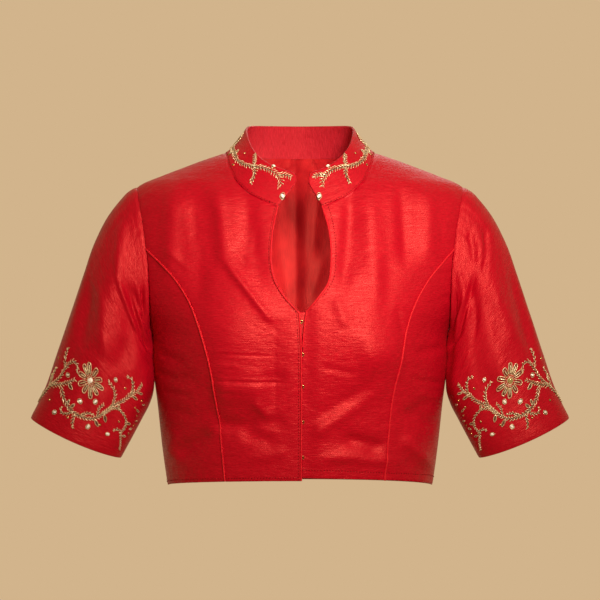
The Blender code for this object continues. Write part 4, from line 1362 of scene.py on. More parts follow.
@dataclass(frozen=True)
class SatinLining:
    """Satin of a filament yarn: long floats that lie side by side, so it is smoother than the silk.

    The eye sees a softer, browner red with broad gleams on its upright folds.
    """

    name: str = "red_satin_lining"
    colour: str = "#C01E20"
    shade: str = "#960E14"
    float_length_mm: float = 12.0
    float_width_mm: float = 0.8
    soft_mm: tuple[float, float] = (60.0, 30.0)

    def build(self) -> Material:
        """Make the material.

        Returns:
            The material.
        """
        finish, tree, shader = new_finish(
            self.name, Roughness=0.42, Specular_IOR_Level=0.5, Specular_Tint=linear("#FF7A60"),
            Sheen_Weight=0.02, Sheen_Roughness=0.4, Sheen_Tint=linear("#FF8070"),
            Anisotropic=0.5, IOR=1.5)
        cloth = add_node(tree, "ShaderNodeUVMap", uv_map=CLOTH_MAP).outputs["UV"]
        floats = streaks(tree, cloth, self.float_length_mm, self.float_width_mm, 2.0, True)
        soft = streaks(tree, cloth, *self.soft_mm, 2.0, True)
        mixed = add_node(tree, "ShaderNodeMath", {1: 0.5}, {0: floats, 2: soft},
                         operation="MULTIPLY_ADD")
        level = add_node(tree, "ShaderNodeMapRange", {"From Min": 0.5, "From Max": 0.95},
                         {"Value": mixed.outputs[0]})
        colour = add_node(tree, "ShaderNodeMix", {6: linear(self.shade), 7: linear(self.colour)},
                          {0: level.outputs["Result"]}, data_type="RGBA")
        bump = add_node(tree, "ShaderNodeBump", {"Strength": 0.25, "Distance": 0.3 * MM},
                        {"Height": floats})
        feed(tree, shader, {"Base Color": colour.outputs[2], "Normal": bump.outputs["Normal"]})
        return finish


@dataclass(frozen=True)
class Trim:
    """A small sewn or metal finish whose colour varies a little from place to place.

    Attributes:
        name: The material's name.
        colour: Its main colour.
        other: The colour that it varies towards.
        patch_mm: The size of the lighter and darker places.
        roughness: Its lowest and highest roughness.
        metallic: 1 for a metal.
        bump_mm: The depth of its surface.
        sheen: How much nap it shows.
        coat: A clear glaze over it.
        tint: The colour of its gloss.
    """

    name: str
    colour: str
    other: str
    patch_mm: float
    roughness: tuple[float, float]
    metallic: float = 0.0
    bump_mm: float = 0.05
    sheen: float = 0.0
    coat: float = 0.0
    tint: str = "#FFFFFF"

    def build(self) -> Material:
        """Make the material.

        Returns:
            The material.
        """
        finish, tree, shader = new_finish(self.name, Metallic=self.metallic, Coat_Weight=self.coat,
                                          Coat_Roughness=0.04, Sheen_Weight=self.sheen,
                                          Specular_Tint=linear(self.tint),
                                          Sheen_Tint=linear("#FF8A78"))
        at = add_node(tree, "ShaderNodeTexCoord").outputs["Object"]
        noise = add_node(tree, "ShaderNodeTexNoise",
                         {"Scale": 1.0 / (self.patch_mm * MM), "Detail": 3.0}, {"Vector": at})
        share = add_node(tree, "ShaderNodeMapRange", {"From Min": 0.32, "From Max": 0.68},
                         {"Value": noise.outputs["Fac"]}).outputs["Result"]
        colour = add_node(tree, "ShaderNodeMix", {6: linear(self.colour), 7: linear(self.other)},
                          {0: share}, data_type="RGBA")
        rough = add_node(tree, "ShaderNodeMapRange", {"To Min": self.roughness[0],
                                                      "To Max": self.roughness[1]},
                         {"Value": share})
        bump = add_node(tree, "ShaderNodeBump", {"Strength": 0.6, "Distance": self.bump_mm * MM},
                        {"Height": noise.outputs["Fac"]})
        feed(tree, shader, {"Base Color": colour.outputs[2], "Roughness": rough.outputs["Result"],
                            "Normal": bump.outputs["Normal"]})
        return finish


def made(finish: RawSilk | SatinLining | Trim) -> Any:
    """A field that holds a finish's material, made once with the others."""
    return field(default_factory=finish.build)


@dataclass
class Finishes:
    """Every material of the blouse, made once."""

    silk: Material = made(RawSilk())
    # The collar's facing is cut across the grain: its slubs stand upright, and it looks paler.
    facing: Material = made(RawSilk(
        name="red_raw_silk_facing", weft_upright=True, slub_length_mm=14.0, colour="#C42630",
        shade="#A3161E"))
    satin: Material = made(SatinLining())
    # Silk cut on the bias and pulled tight over a cotton cord: smooth, so it gleams as a thin line.
    piping: Material = made(Trim(
        "red_silk_piping", "#BC0A1A", "#C81E24", 2.5, (0.38, 0.5), bump_mm=0.12, sheen=0.04,
        tint="#FF6650"))
    # Polyester sewing thread, spun and dull: a row of darker dashes with no gleam.
    thread: Material = made(Trim(
        "red_sewing_thread", "#6A030A", "#8C0812", 1.2, (0.5, 0.65), sheen=0.02,
        tint="#FF7058"))
    # Drawn brass wire, a little tarnished: small warm glints at the nose of each hook.
    brass: Material = made(Trim(
        "drawn_brass_wire", "#D9B46C", "#B78F4C", 1.5, (0.22, 0.38), metallic=1.0))
    # Zardozi wire: gilt copper wound to a fine coil and cut short. Its colour is mixed at random
    # between pale and brown gold, partly an uneven antique tone and partly painted glints and shade
    # of its turns.
    gilt: Material = made(Trim(
        "antique_gilt_coil", "#FFE6B4", "#AC8046", 2.0, (0.28, 0.42), metallic=0.45,
        bump_mm=0.1))
    # Cotton thread laid under the coils, matt and seen only in the gaps. Its dark brown is painted
    # shade: the shadow between the coils.
    padding: Material = made(Trim(
        "brown_padding_thread", "#6E3A18", "#48240E", 1.0, (0.7, 0.85), bump_mm=0.12))
    # Sequins and bead cups: thin gilt metal, pressed and polished, that flashes here and there.
    sequin: Material = made(Trim(
        "polished_gilt_sequin", "#E9CB8C", "#CFA560", 2.0, (0.12, 0.24), metallic=1.0))
    # Foiled glass stones: cut facets over a silver or a gold foil. Their near-white colour is a
    # painted reflection of the foil, and a clear coat adds a real flash.
    stone: Material = made(Trim(
        "foiled_glass_stone", "#FFF6E4", "#E2C8A0", 1.8, (0.05, 0.12), bump_mm=0.01,
        coat=1.0))
    gold_stone: Material = made(Trim(
        "gold_foiled_glass_stone", "#D9C07A", "#B9B25A", 1.6, (0.05, 0.14), metallic=0.7,
        bump_mm=0.01, coat=1.0))


def panel_flat(places: Array) -> Array:
    """Where places over the bodice lie in the flat cloth, in metres."""
    return np.stack([places[..., 0] * FLAT_FOR_RADIAN, places[..., 1]], axis=-1)


def bodice_cloth(name: str, places: Array, underlap: bool = False) -> Cloth:
    """A panel of the bodice over a grid of places.

    Args:
        name: The piece's name.
        places: Its places by row and column.
        underlap: Whether it drops behind the other front's edge.

    Returns:
        The cut piece.
    """
    outer = BODICE.point(places[..., 0], places[..., 1], underlap=underlap)
    return Cloth(name, outer, grid_normals(outer), panel_flat(places))


@dataclass
class CentreFront:
    """A centre front: from its princess seam, armhole and shoulder to its hooked edge."""

    side: Side
    cut: Cut

    def edges(self, rows_at: Array, columns_at: Array) -> tuple[Array, Array, Array, Array]:
        """Places along the hem, the neck, the outer seams and the hooked edge.

        Args:
            rows_at: The rows, in the solid's cells.
            columns_at: The columns, in the solid's cells.

        Returns:
            The four lines of places, in that order.
        """
        side = self.side
        outer = in_turn([
            (partial(seam_places, PRINCESS[side], side), ROWS_PRINCESS),
            (partial(armhole_places, side, PRINCESS_TOP_Z, SHOULDER_TIP_Z, False),
             ROWS_ARMHOLE_UPPER),
            (partial(shoulder_places, side), ROWS_SHOULDER)], rows_at)
        hooked = in_turn([
            (partial(seam_places, FRONT_EDGE[side], side), ROWS_FRONT - ROWS_KEYHOLE),
            (partial(seam_places, KEYHOLE[side], side), ROWS_KEYHOLE)], rows_at)
        shares = columns_at / COLUMNS_FRONT
        top = neck_front_places(side, (1.0 - shares)[::-1])[::-1]
        bottom = hem_places(side, outer[0, 0], hooked[0, 0], shares)
        outer[0], hooked[0] = bottom[0], bottom[-1]
        outer[-1], hooked[-1] = top[0], top[-1]
        return bottom, top, outer, hooked

    def cloth(self) -> Cloth:
        """The panel's outer face.

        Returns:
            The cut piece.
        """
        coarse = self.edges(np.arange(ROWS_FRONT + 1.0), np.arange(COLUMNS_FRONT + 1.0))
        rows_at = spread(ROWS_FRONT, STEPS_FRONT[0])
        columns_at = spread(COLUMNS_FRONT, STEPS_FRONT[1])
        places = refined(even_out(front_patch(*coarse)), self.edges(rows_at, columns_at),
                         rows_at, columns_at)
        seam, piped = SEAM_GAP / 2.0, PIPING_RADIUS + CORD_GAP
        outer_inset = np.where(rows_at <= ROWS_PRINCESS, piped, seam)
        if self.side is Side.LEFT:
            cloth = bodice_cloth("front_left_silk", places[:, ::-1], underlap=True)
            piped_rows = places[:, -1, 1] > BODICE.level_at(PIPING_UNDERLAP_Z)
            cloth.draw_back(top=seam, left=np.where(piped_rows, piped, 0.0), right=outer_inset)
        else:
            cloth = bodice_cloth("front_right_silk", places)
            cloth.draw_back(top=seam, left=outer_inset, right=piped)
        return cloth.sink(top=SEAM_SINK, left=CORD_SINK, right=CORD_SINK, bottom=HEM_SINK)


@dataclass
class SideFront:
    """A side front, between the princess seam, the armhole and the side seam."""

    side: Side
    cut: Cut

    def cloth(self) -> Cloth:
        """The panel's outer face.

        Returns:
            The cut piece.
        """
        side = self.side
        rows_at = spread(ROWS_PRINCESS, STEPS_SIDE[0])
        columns_at = spread(COLUMNS_SIDE, STEPS_SIDE[1])
        princess = seam_places(PRINCESS[side], side, rows_at / ROWS_PRINCESS)
        top = armhole_places(side, UNDERARM_Z, PRINCESS_TOP_Z, False, columns_at / COLUMNS_SIDE)
        side_angle = side.value * pi / 2.0
        bottom = hem_places(side, side_angle, princess[0, 0], columns_at / COLUMNS_SIDE)
        level = bottom[0, 1] + (top[0, 1] - bottom[0, 1]) * rows_at / ROWS_PRINCESS
        side_seam = np.stack([np.full_like(level, side_angle), level], axis=-1)
        princess[0], princess[-1] = bottom[-1], top[-1]
        places = patch(bottom, top, side_seam, princess,
                       columns_at / COLUMNS_SIDE, rows_at / ROWS_PRINCESS)
        seam = SEAM_GAP / 2.0
        left, right = (seam, SEAM_SINK), (PIPING_RADIUS + CORD_GAP, CORD_SINK)
        if side is Side.LEFT:
            left, right, places = right, left, places[:, ::-1]
        cloth = bodice_cloth(f"side_front_{side.label}_silk", places)
        cloth.draw_back(top=seam, left=left[0], right=right[0])
        return cloth.sink(top=SEAM_SINK, left=left[1], right=right[1], bottom=HEM_SINK)


@dataclass
class Back:
    """The back, in one piece, and the lining inside it."""

    cut: Cut
    lining_cut: Cut
    lining_inset: float = 3.0 * MM
    lining_slack: float = 3.6 * MM
    lining_cells: float = 4.0

    def edges(self, rows_at: Array, columns_at: Array) -> tuple[Array, Array, Array, Array]:
        """Places along the hem, the neck and the two sides.

        Args:
            rows_at: The rows, in the solid's cells.
            columns_at: The columns, in the solid's cells.

        Returns:
            The four lines of places, in that order.
        """
        sides = []
        for side in (Side.LEFT, Side.RIGHT):
            armhole = partial(armhole_places, side, UNDERARM_Z, SHOULDER_TIP_Z, True)
            foot = armhole(np.zeros(1))[0]
            ends = np.array([[foot[0], float(BODICE.level_at(HEM_SIDE_Z * MM))], foot])
            straight = partial(self._between_ends, ends)
            edge = in_turn([(straight, ROWS_SIDE_BACK), (armhole, ROWS_ARMHOLE_BACK),
                            (partial(shoulder_places, side), ROWS_SHOULDER)], rows_at)
            edge[:, 0] = np.abs(edge[:, 0])
            if side is Side.RIGHT:
                edge[:, 0] = 2.0 * pi - edge[:, 0]
            sides.append(edge)
        shares = columns_at / COLUMNS_BACK
        bottom = hem_places(Side.LEFT, sides[0][0, 0], sides[1][0, 0], shares)
        return bottom, neck_back_places(shares), sides[0], sides[1]

    @staticmethod
    def _between_ends(ends: Array, shares: Array) -> Array:
        """Places evenly from one to another."""
        return ends[0] + (ends[1] - ends[0]) * shares[:, None]

    def places(self, rows_at: Array, columns_at: Array) -> Array:
        """The back's places at a finer step.

        Args:
            rows_at: The rows, in the solid's cells.
            columns_at: The columns, in the solid's cells.

        Returns:
            The places by row and column.
        """
        coarse = self.edges(np.arange(ROWS_BACK + 1.0), np.arange(COLUMNS_BACK + 1.0))
        return refined(even_out(patch(*coarse)), self.edges(rows_at, columns_at),
                       rows_at, columns_at)

    def cloth(self) -> Cloth:
        """The back's outer face.

        Returns:
            The cut piece.
        """
        rows_at, columns_at = spread(ROWS_BACK, STEPS_BACK[0]), spread(COLUMNS_BACK, STEPS_BACK[1])
        cloth = bodice_cloth("back_silk", self.places(rows_at, columns_at))
        seam = SEAM_GAP / 2.0
        cloth.draw_back(top=seam, left=seam, right=seam)
        return cloth.sink(top=SEAM_SINK, left=SEAM_SINK, right=SEAM_SINK, bottom=HEM_SINK)

    def lining(self) -> Cloth:
        """The lining: caught near the seams and slack between them, in soft upright folds.

        Returns:
            The cut piece.
        """
        rows_at = spread(ROWS_BACK, STEPS_LINING[0])
        columns_at = spread(COLUMNS_BACK, STEPS_LINING[1])
        places = self.places(rows_at, columns_at)
        from_edge = np.minimum.outer(np.minimum(rows_at, ROWS_BACK - rows_at),
                                     np.minimum(columns_at, COLUMNS_BACK - columns_at))
        loose = smooth(from_edge / self.lining_cells)
        base = BODICE.base(places[..., 0], places[..., 1])
        folds = fold_heights(base[..., 0], base[..., 2], LINING_FOLDS)
        depth = CLOTH_WALL + LAYER_GAP + self.lining_slack * loose
        depth = np.maximum(depth - folds * smooth(from_edge / 1.5), CLOTH_WALL + LAYER_GAP)
        normal = BODICE.normal(places[..., 0], places[..., 1])
        outer = base - normal * depth[..., None]
        cloth = Cloth("back_satin_lining", outer, grid_normals(outer), panel_flat(places),
                      LINING_WALL)
        inset = self.lining_inset
        return cloth.draw_back(bottom=inset, top=inset, left=inset, right=inset)


@dataclass
class Sleeve:
    """A set-in half sleeve: rings that fan out from the armhole to the cuff.

    Its grid opens at the underarm seam, and its rows go up from the cuff.
    """

    side: Side
    cut: Cut
    turn: Array = field(default_factory=lambda: np.zeros(0))

    def loop(self) -> tuple[Array, Array]:
        """The armhole's points from the underarm round to the underarm, with their turns.

        Returns:
            The points, and each one's turn in radians: 0 at the outer line, positive in front.
        """
        side = self.side
        at = spread(ROWS_ARMHOLE_LOWER + ROWS_ARMHOLE_UPPER, STEPS_SLEEVE, crowded=False)
        near = np.array(EDGE_STEPS)
        at = np.unique(np.concatenate([at, near]))
        front = in_turn([
            (partial(armhole_places, side, UNDERARM_Z, PRINCESS_TOP_Z, False), ROWS_ARMHOLE_LOWER),
            (partial(armhole_places, side, PRINCESS_TOP_Z, SHOULDER_TIP_Z, False),
             ROWS_ARMHOLE_UPPER)], at)
        at = np.unique(np.concatenate([spread(ROWS_ARMHOLE_BACK, STEPS_SLEEVE, False), near]))
        back = armhole_places(side, UNDERARM_Z, SHOULDER_TIP_Z, True, at / ROWS_ARMHOLE_BACK)
        back = back[:-1][::-1]
        places = np.concatenate([front, back])
        points = BODICE.point(places[:, 0], places[:, 1])
        flat = BODICE.base(places[:, 0], places[:, 1])
        rise = (flat[:, 2] / MM - UNDERARM_Z) / (SHOULDER_TIP_Z - UNDERARM_Z)
        turn = np.arccos(np.clip(2.0 * rise - 1.0, -1.0, 1.0))
        turn[len(front):] *= -1.0
        if side is Side.RIGHT:
            return points[::-1], turn[::-1]
        return points, turn

    def outline(self, rows: Sequence[Sequence[float]], shares: Array) -> Array:
        """Points of an outline at shares of its length, as x and z.

        Args:
            rows: The outline's x and z in mm.
            shares: Shares of its length.

        Returns:
            The points in metres.
        """
        table = np.array(rows) * MM
        travelled = lengths_along(table)
        return Track(travelled, table)(travelled[-1] * shares)

    def rings(self, shares: Array, loop: Array) -> Array:
        """The rings without their folds, from the cuff up to the armhole.

        Args:
            shares: Each ring's share of the sleeve's length, 1 at the cuff.
            loop: The armhole's points, which the last ring meets.

        Returns:
            The points, by ring and by place round it.
        """
        outer_line = self.outline(SLEEVE_OUTER, shares)
        inner_line = self.outline(SLEEVE_INNER, shares)
        depths = np.array(SLEEVE_DEPTH)
        half_depth, shift = Track(depths[:, 0], depths[:, 1:] * MM)(shares).T
        middle, reach = (outer_line + inner_line) / 2.0, (outer_line - inner_line) / 2.0
        cosine, sine = np.cos(self.turn)[None], np.sin(self.turn)[None]
        rings = np.stack([self.side.value * (middle[:, :1] + reach[:, :1] * cosine),
                          shift[:, None] - half_depth[:, None] * sine,
                          middle[:, 1:] + reach[:, 1:] * cosine], axis=-1)
        rings[..., 2] -= CUFF_DROOP * shares[:, None] ** 4 * sine**2
        fade = 1.0 - smooth(shares / ARMHOLE_EASE)
        return rings + (loop - rings[-1])[None] * fade[:, None, None]

    def relief(self, shares: Array) -> Array:
        """How far the folds, puckers, creases and pressed seam stand from the rings.

        Args:
            shares: Each ring's share of the sleeve's length.

        Returns:
            The heights in metres, by ring and by place round it.
        """
        degrees = np.degrees(self.turn % (2.0 * pi))[None]
        height = np.zeros((len(shares), len(self.turn)))
        for fold in SLEEVE_FOLDS[self.side] + self.head_puckers():
            along = (shares - fold.share0) / (fold.share1 - fold.share0)
            centre = fold.degrees0 + (fold.degrees1 - fold.degrees0) * np.clip(along, 0.0, 1.0)
            across = (degrees - centre[:, None] + 180.0) % 360.0 - 180.0
            profile = np.exp(-((across / fold.width) ** 2))
            height = height + fold.height * MM * fold_ends(along)[:, None] * profile
        eased = HEAD_EASE[0] * smooth(shares / HEAD_EASE[1])
        height = height * np.maximum(smooth(shares / SLEEVE_HEAD), eased)[:, None]
        round_it, down = np.broadcast_arrays(((degrees + 180.0) % 360.0 - 180.0) * ARC_FOR_DEGREE,
                                             shares[:, None] * SLEEVE_RUN)
        creases = fold_heights(round_it, down, SLEEVE_CREASES[self.side])
        height = height + creases * smooth(shares / SEAM_FREE)[:, None]
        return height + PRESSED_SEAM * np.exp(-(((down - PRESSED_AT) / PRESSED_WIDTH) ** 2))

    def cloth(self) -> Cloth:
        """The sleeve's outer face.

        Returns:
            The cut piece.
        """
        loop, self.turn = self.loop()
        shares = spread(ROWS_SLEEVE, 1, crowded=False) / ROWS_SLEEVE
        near = np.array(CUFF_STEPS) * MM / SLEEVE_CLOTH
        shares = np.unique(np.concatenate([shares, near, 1.0 - near]))[::-1]
        rings = self.rings(shares, loop)
        outer = rings + grid_normals(rings) * self.relief(shares)[..., None]
        width = lengths_along(outer[len(shares) // 2])
        flat = np.stack(np.broadcast_arrays(width[None], -SLEEVE_CLOTH * shares[:, None]), axis=-1)
        cloth = Cloth(f"sleeve_{self.side.label}_silk", outer, grid_normals(outer), flat)
        seam = SEAM_GAP / 2.0
        cloth.draw_back(top=seam, left=seam, right=seam)
        underarm = SEAM_SINK * UNDERARM_SINK
        return cloth.sink(top=SEAM_SINK, left=underarm, right=underarm, bottom=HEM_SINK)

    def head_puckers(self) -> tuple[SleeveFold, ...]:
        """Short puckers where the sleeve's head is eased into the armhole.

        Returns:
            The puckers as sleeve folds.
        """
        chance = np.random.default_rng(71 if self.side is Side.RIGHT else 72)
        folds, at = [], -70.0
        while at < 330.0:
            start = at % 360.0
            lean = chance.uniform(-5.0, 5.0)
            folds.append(SleeveFold(start, 0.0, start + lean, chance.uniform(0.05, 0.13),
                                    chance.uniform(1.6, 3.0), chance.uniform(-0.9, 0.5)))
            at += chance.uniform(5.0, 15.0)
        return tuple(folds)


@dataclass
class Collar:
    """The stand collar: the layer that shows outside and the facing inside it."""

    cut: Cut
    facing_cut: Cut
    step: float = 2.0 * MM
    rows: int = 26
    facing_drop: float = 2.4 * MM
    wave: float = 0.35 * MM
    wave_runs: tuple[float, float] = (23.0 * MM, 61.0 * MM)

    def grid(self) -> tuple[Array, Array]:
        """The outer face, and the distance of its columns along the neck seam.

        Returns:
            The points by row and column, and each column's distance.
        """
        fine = np.linspace(0.0, 1.0, 60)
        right = neck_front_places(Side.RIGHT, fine)[::-1]
        right[:, 0] += 2.0 * pi
        places = np.concatenate([neck_front_places(Side.LEFT, fine),
                                 neck_back_places(np.linspace(0.0, 1.0, 120))[1:], right[1:]])
        seam = BODICE.point(places[:, 0], places[:, 1], plain=True)
        knots = lengths_along(seam)
        corner = COLLAR_CORNER * (1.0 - np.cos(np.linspace(0.0, pi / 2.0, 17)))
        inside = np.arange(corner[-1] + self.step, knots[-1] - corner[-1] - self.step, self.step)
        travelled = np.concatenate([corner, inside, knots[-1] - corner[::-1]])
        base = read_at(travelled, knots, seam)
        middle = travelled[-1] / 2.0
        share = 1.0 - np.abs(travelled - middle) / middle
        rows = np.array(COLLAR_TOP)
        top = Track(rows[:, 0], rows[:, 1:] * MM)(share)
        top[:, 0] *= np.sign(middle - travelled)
        top[:, 0] += COLLAR_SHIFT * smooth(1.0 - share / COLLAR_SHIFT_SHARE)
        height = np.linalg.norm(top - base, axis=-1)
        from_end = np.clip(share * middle / COLLAR_CORNER, 0.0, 1.0)
        lost = COLLAR_CORNER * (1.0 - np.sqrt(1.0 - (1.0 - from_end) ** 2))
        kept = 1.0 - lost / height
        up = spread(self.rows, 1) / self.rows
        return base + (top - base) * kept[:, None] * up[:, None, None], travelled

    def cloths(self) -> tuple[Cloth, Cloth]:
        """The outer layer and the facing.

        Returns:
            The two cut pieces.
        """
        grid, travelled = self.grid()
        normals = grid_normals(grid)
        lift = unit(grid[1] - grid[0])
        up = np.linspace(0.0, 1.0, len(grid))[:, None, None]
        grid = grid + lift[None] * SEAM_GAP * (1.0 - up)
        height = lengths_along(grid)
        flat = np.stack(np.broadcast_arrays(travelled[None], height), axis=-1)
        short, long = self.wave_runs
        wave = self.wave * np.sin(travelled / short) * np.sin(travelled / long + 1.0)
        crown = np.sin(pi * up[..., 0]) * wave[None]
        outer = grid + normals * crown[..., None]
        band = Cloth("collar_silk", outer, normals, flat)
        band.sink(bottom=SEAM_SINK, top=HEM_SINK, left=HEM_SINK, right=HEM_SINK)
        inner = outer - normals * (CLOTH_WALL + SEAM_GAP)
        inner = inner - lift[None] * self.facing_drop * (1.0 - up) ** 3
        return band, Cloth("collar_facing_silk", inner, normals, flat, LINING_WALL)


@dataclass
class Closure:
    """The hooked edges: their piping, the underlap with its thread eyes, and the wire hooks."""

    placket_cut: Cut
    inner_x: float = -12.0 * MM
    outer_x: float = 17.0 * MM
    hooks: tuple[tuple[float, float], ...] = ((-193.0, 3.4), (-230.0, 4.6), (-266.0, 4.6),
                                              (-306.0, 4.6), (-346.0, 4.6))

    def edge_places(self, side: Side, steps: int) -> Array:
        """Places up a front's hooked edge and then round its half of the keyhole.

        Args:
            side: The wearer's side.
            steps: Steps in each of the solid's cells.

        Returns:
            The places, as angle and level.
        """
        return in_turn([
            (partial(seam_places, FRONT_EDGE[side], side), ROWS_FRONT - ROWS_KEYHOLE),
            (partial(seam_places, KEYHOLE[side], side), ROWS_KEYHOLE)],
            spread(ROWS_FRONT, steps, crowded=False))

    def cord_places(self, side: Side) -> Array:
        """Places along a front's piping, which stops where the other front covers it.

        Args:
            side: The wearer's side.

        Returns:
            The places, as angle and level.
        """
        places = self.edge_places(side, CORD_STEPS_FRONT)
        if side is Side.LEFT:
            places = places[places[:, 1] > BODICE.level_at(PIPING_UNDERLAP_Z)]
        return places

    def lay_cord(self, node: str, places: Array, finishes: Finishes,
                 underlap: bool = False) -> None:
        """Lay a covered cord along its seam in place of its solid.

        Args:
            node: The solid's node.
            places: The seam's places.
            finishes: The blouse's materials.
            underlap: Whether it drops with the front that lies behind.
        """
        points = BODICE.point(places[:, 0], places[:, 1], PIPING_RISE + CORD_LIFT, underlap)
        points[-1] += (points[-2] - points[-1]) * PIPING_STOP
        pile = Pile()
        pile.tube(points, BODICE.normal(places[:, 0], places[:, 1]), PIPING_RADIUS, CORD_SIDES)
        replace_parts(pile.build(f"{node}_cord", finishes.piping, "piping"), node)

    def placket(self) -> Cloth:
        """The underlap's outer face.

        Returns:
            The cut piece.
        """
        level = self.edge_places(Side.LEFT, 5)[:(ROWS_FRONT - ROWS_KEYHOLE) * 5 + 1, 1][:, None]
        x = np.linspace(self.inner_x, self.outer_x, 19)[None]
        level, x = np.broadcast_arrays(level, x)
        angle = BODICE.angle_of(x, level)
        base, normal = BODICE.base(angle, level), BODICE.normal(angle, level)
        depth = UNDERLAP_DROP + CLOTH_WALL + LAYER_GAP - BODICE.relief(angle, base, plain=True)
        outer = base - normal * depth[..., None]
        return Cloth("eye_placket_silk", outer, grid_normals(outer),
                     np.stack([x, level], axis=-1))

    def hook_line(self, z: float, nose_x: float) -> tuple[Array, Array]:
        """A hook's wire: an eyelet, a shank, the nose that shows past the edge, and back.

        Args:
            z: The hook's height in mm.
            nose_x: The x that its nose reaches, in mm.

        Returns:
            The wire's points, and the outward directions there.
        """
        nose_x = nose_x * MM - HOOK_NOSE_RADIUS
        tail_x = nose_x - HOOK_LENGTH
        arc = np.radians(-90.0 - np.linspace(240.0, 0.0, 18))
        eyelet = np.stack([tail_x + HOOK_EYELET_RADIUS * np.cos(arc),
                           HOOK_NOSE_RADIUS + HOOK_EYELET_RADIUS * (1.0 + np.sin(arc))], axis=-1)
        arc = np.radians(np.linspace(90.0, -90.0, 14))
        nose = np.stack([nose_x + HOOK_NOSE_RADIUS * np.cos(arc), HOOK_NOSE_RADIUS * np.sin(arc)],
                        axis=-1)
        flat = np.concatenate([eyelet, nose, eyelet[::-1] * (1.0, -1.0)])
        level = BODICE.level_at(z * MM + flat[:, 1])
        angle = BODICE.angle_of(flat[:, 0], level)
        base, normal = BODICE.base(angle, level), BODICE.normal(angle, level)
        depth = CLOTH_WALL + SEAM_GAP + HOOK_WIRE_RADIUS - BODICE.relief(angle, base, plain=True)
        return base - normal * depth[:, None], normal

    def dress(self, finishes: Finishes) -> None:
        """Make the pipings, the placket, the hooks and the thread eyes.

        Args:
            finishes: The blouse's materials.
        """
        for side in Side:
            self.lay_cord(f"front_piping_{side.label}", self.cord_places(side), finishes,
                          side is Side.LEFT)
            shares = np.linspace(0.0, 1.0, ROWS_PRINCESS * CORD_STEPS_PRINCESS + 1)
            self.lay_cord(f"princess_piping_{side.label}",
                          seam_places(PRINCESS[side], side, shares), finishes)
        placket = self.placket().build(finishes.silk, "silk")
        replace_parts(placket, "eye_placket")
        eyes = Pile()
        for number, (z, nose_x) in enumerate(self.hooks, start=1):
            wire = Pile()
            wire.tube(*self.hook_line(z, nose_x), HOOK_WIRE_RADIUS, HOOK_SIDES)
            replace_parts(wire.build(f"hook_{number}_wire", finishes.brass, "hooks"),
                        f"hook_{number}")
            self.add_eye(eyes, z, nose_x)
        eyes.build("thread_eyes", finishes.thread, "silk")

    def add_eye(self, pile: Pile, z: float, nose_x: float) -> None:
        """Add the thread bar that a hook catches, inside the bend of its nose.

        Args:
            pile: What the bar is added to.
            z: The hook's height in mm.
            nose_x: The x that the hook's nose reaches, in mm.
        """
        bar = np.linspace(-1.0, 1.0, 15)
        level = BODICE.level_at((z + bar * EYE_HALF_MM) * MM)
        x = np.full_like(level, (nose_x - EYE_BACK_MM) * MM)
        angle = BODICE.angle_of(x, level)
        base, normal = BODICE.base(angle, level), BODICE.normal(angle, level)
        relief = BODICE.relief(angle, base, plain=True)
        sunk = UNDERLAP_DROP + CLOTH_WALL - EYE_ROOT
        top = CLOTH_WALL + SEAM_GAP + HOOK_WIRE_RADIUS
        depth = top + (sunk - top) * smooth((np.abs(bar) - EYE_FREE) / EYE_BEND) - relief
        twist = EYE_RADIUS * (1.0 + EYE_PLY[0] * np.cos(bar * EYE_PLY[1]))
        pile.tube(base - normal * depth[:, None], normal, twist, 6)


class Chart:
    """Millimetres over a dressed piece, by which its embroidery and stitches are placed."""

    def __init__(self, outer: Array, across: Array, up: Array) -> None:
        """Keep the piece's outer face, and its millimetres in rising order.

        Args:
            outer: The outer face, by row and column.
            across: Millimetres across, by column.
            up: Millimetres up, by row.
        """
        self.outer, self.normals = outer, grid_normals(outer)
        self.across, self.columns = across, np.arange(len(across), dtype=float)
        self.up, self.rows = up, np.arange(len(up), dtype=float)
        if across[0] > across[-1]:
            self.across, self.columns = across[::-1], self.columns[::-1]
        if up[0] > up[-1]:
            self.up, self.rows = up[::-1], self.rows[::-1]

    def at(self, line: Array, lift: float = 0.0) -> tuple[Array, Array]:
        """Points over the piece.

        Args:
            line: Millimetres across and up, by row.
            lift: How far over the cloth, in metres.

        Returns:
            The points and the outward directions there.
        """
        line = np.atleast_2d(line)
        column = np.interp(line[:, 0], self.across, self.columns)
        row = np.interp(line[:, 1], self.up, self.rows)
        low_c = np.clip(np.floor(column).astype(int), 0, self.outer.shape[1] - 2)
        low_r = np.clip(np.floor(row).astype(int), 0, self.outer.shape[0] - 2)
        share_c, share_r = (column - low_c)[:, None], (row - low_r)[:, None]
        found = []
        for grid in (self.outer, self.normals):
            low = grid[low_r, low_c] * (1.0 - share_c) + grid[low_r, low_c + 1] * share_c
            high = grid[low_r + 1, low_c] * (1.0 - share_c) + grid[low_r + 1, low_c + 1] * share_c
            found.append(low * (1.0 - share_r) + high * share_r)
        normals = unit(found[1])
        return found[0] + normals * lift, normals


@dataclass(frozen=True)
class Vine:
    """A stem of slanting coils on both sides of a curved line, in mm on a chart."""

    line: tuple[tuple[float, float], ...]
    leaf: float = 4.2
    spacing: float = 3.7
    slant: float = 34.0
    taper: float = 0.7


@dataclass(frozen=True)
class Leaf:
    """An almond of coils that springs from a stem: its foot, its direction in degrees, its size."""

    across: float
    up: float
    degrees: float
    length: float = 9.0
    width: float = 3.6


@dataclass(frozen=True)
class Motif:
    """One spray of embroidery, in mm on a chart."""

    vines: tuple[Vine, ...] = ()
    leaves: tuple[Leaf, ...] = ()
    stones: tuple[tuple[float, float, float, float], ...] = ()
    beads: tuple[tuple[float, float], ...] = ()
    flower: tuple[float, float] | None = None
    gold_eye: bool = False


# How uneven handwork is, as shares of a size, and how far a coil's foot strays in mm.
UNEVEN_PETAL = (0.92, 1.07)
UNEVEN_COIL = (0.86, 1.14)
UNEVEN_SLANT = (0.8, 1.2)
UNEVEN_SPACING = (0.9, 1.1)
STRAY = 0.15
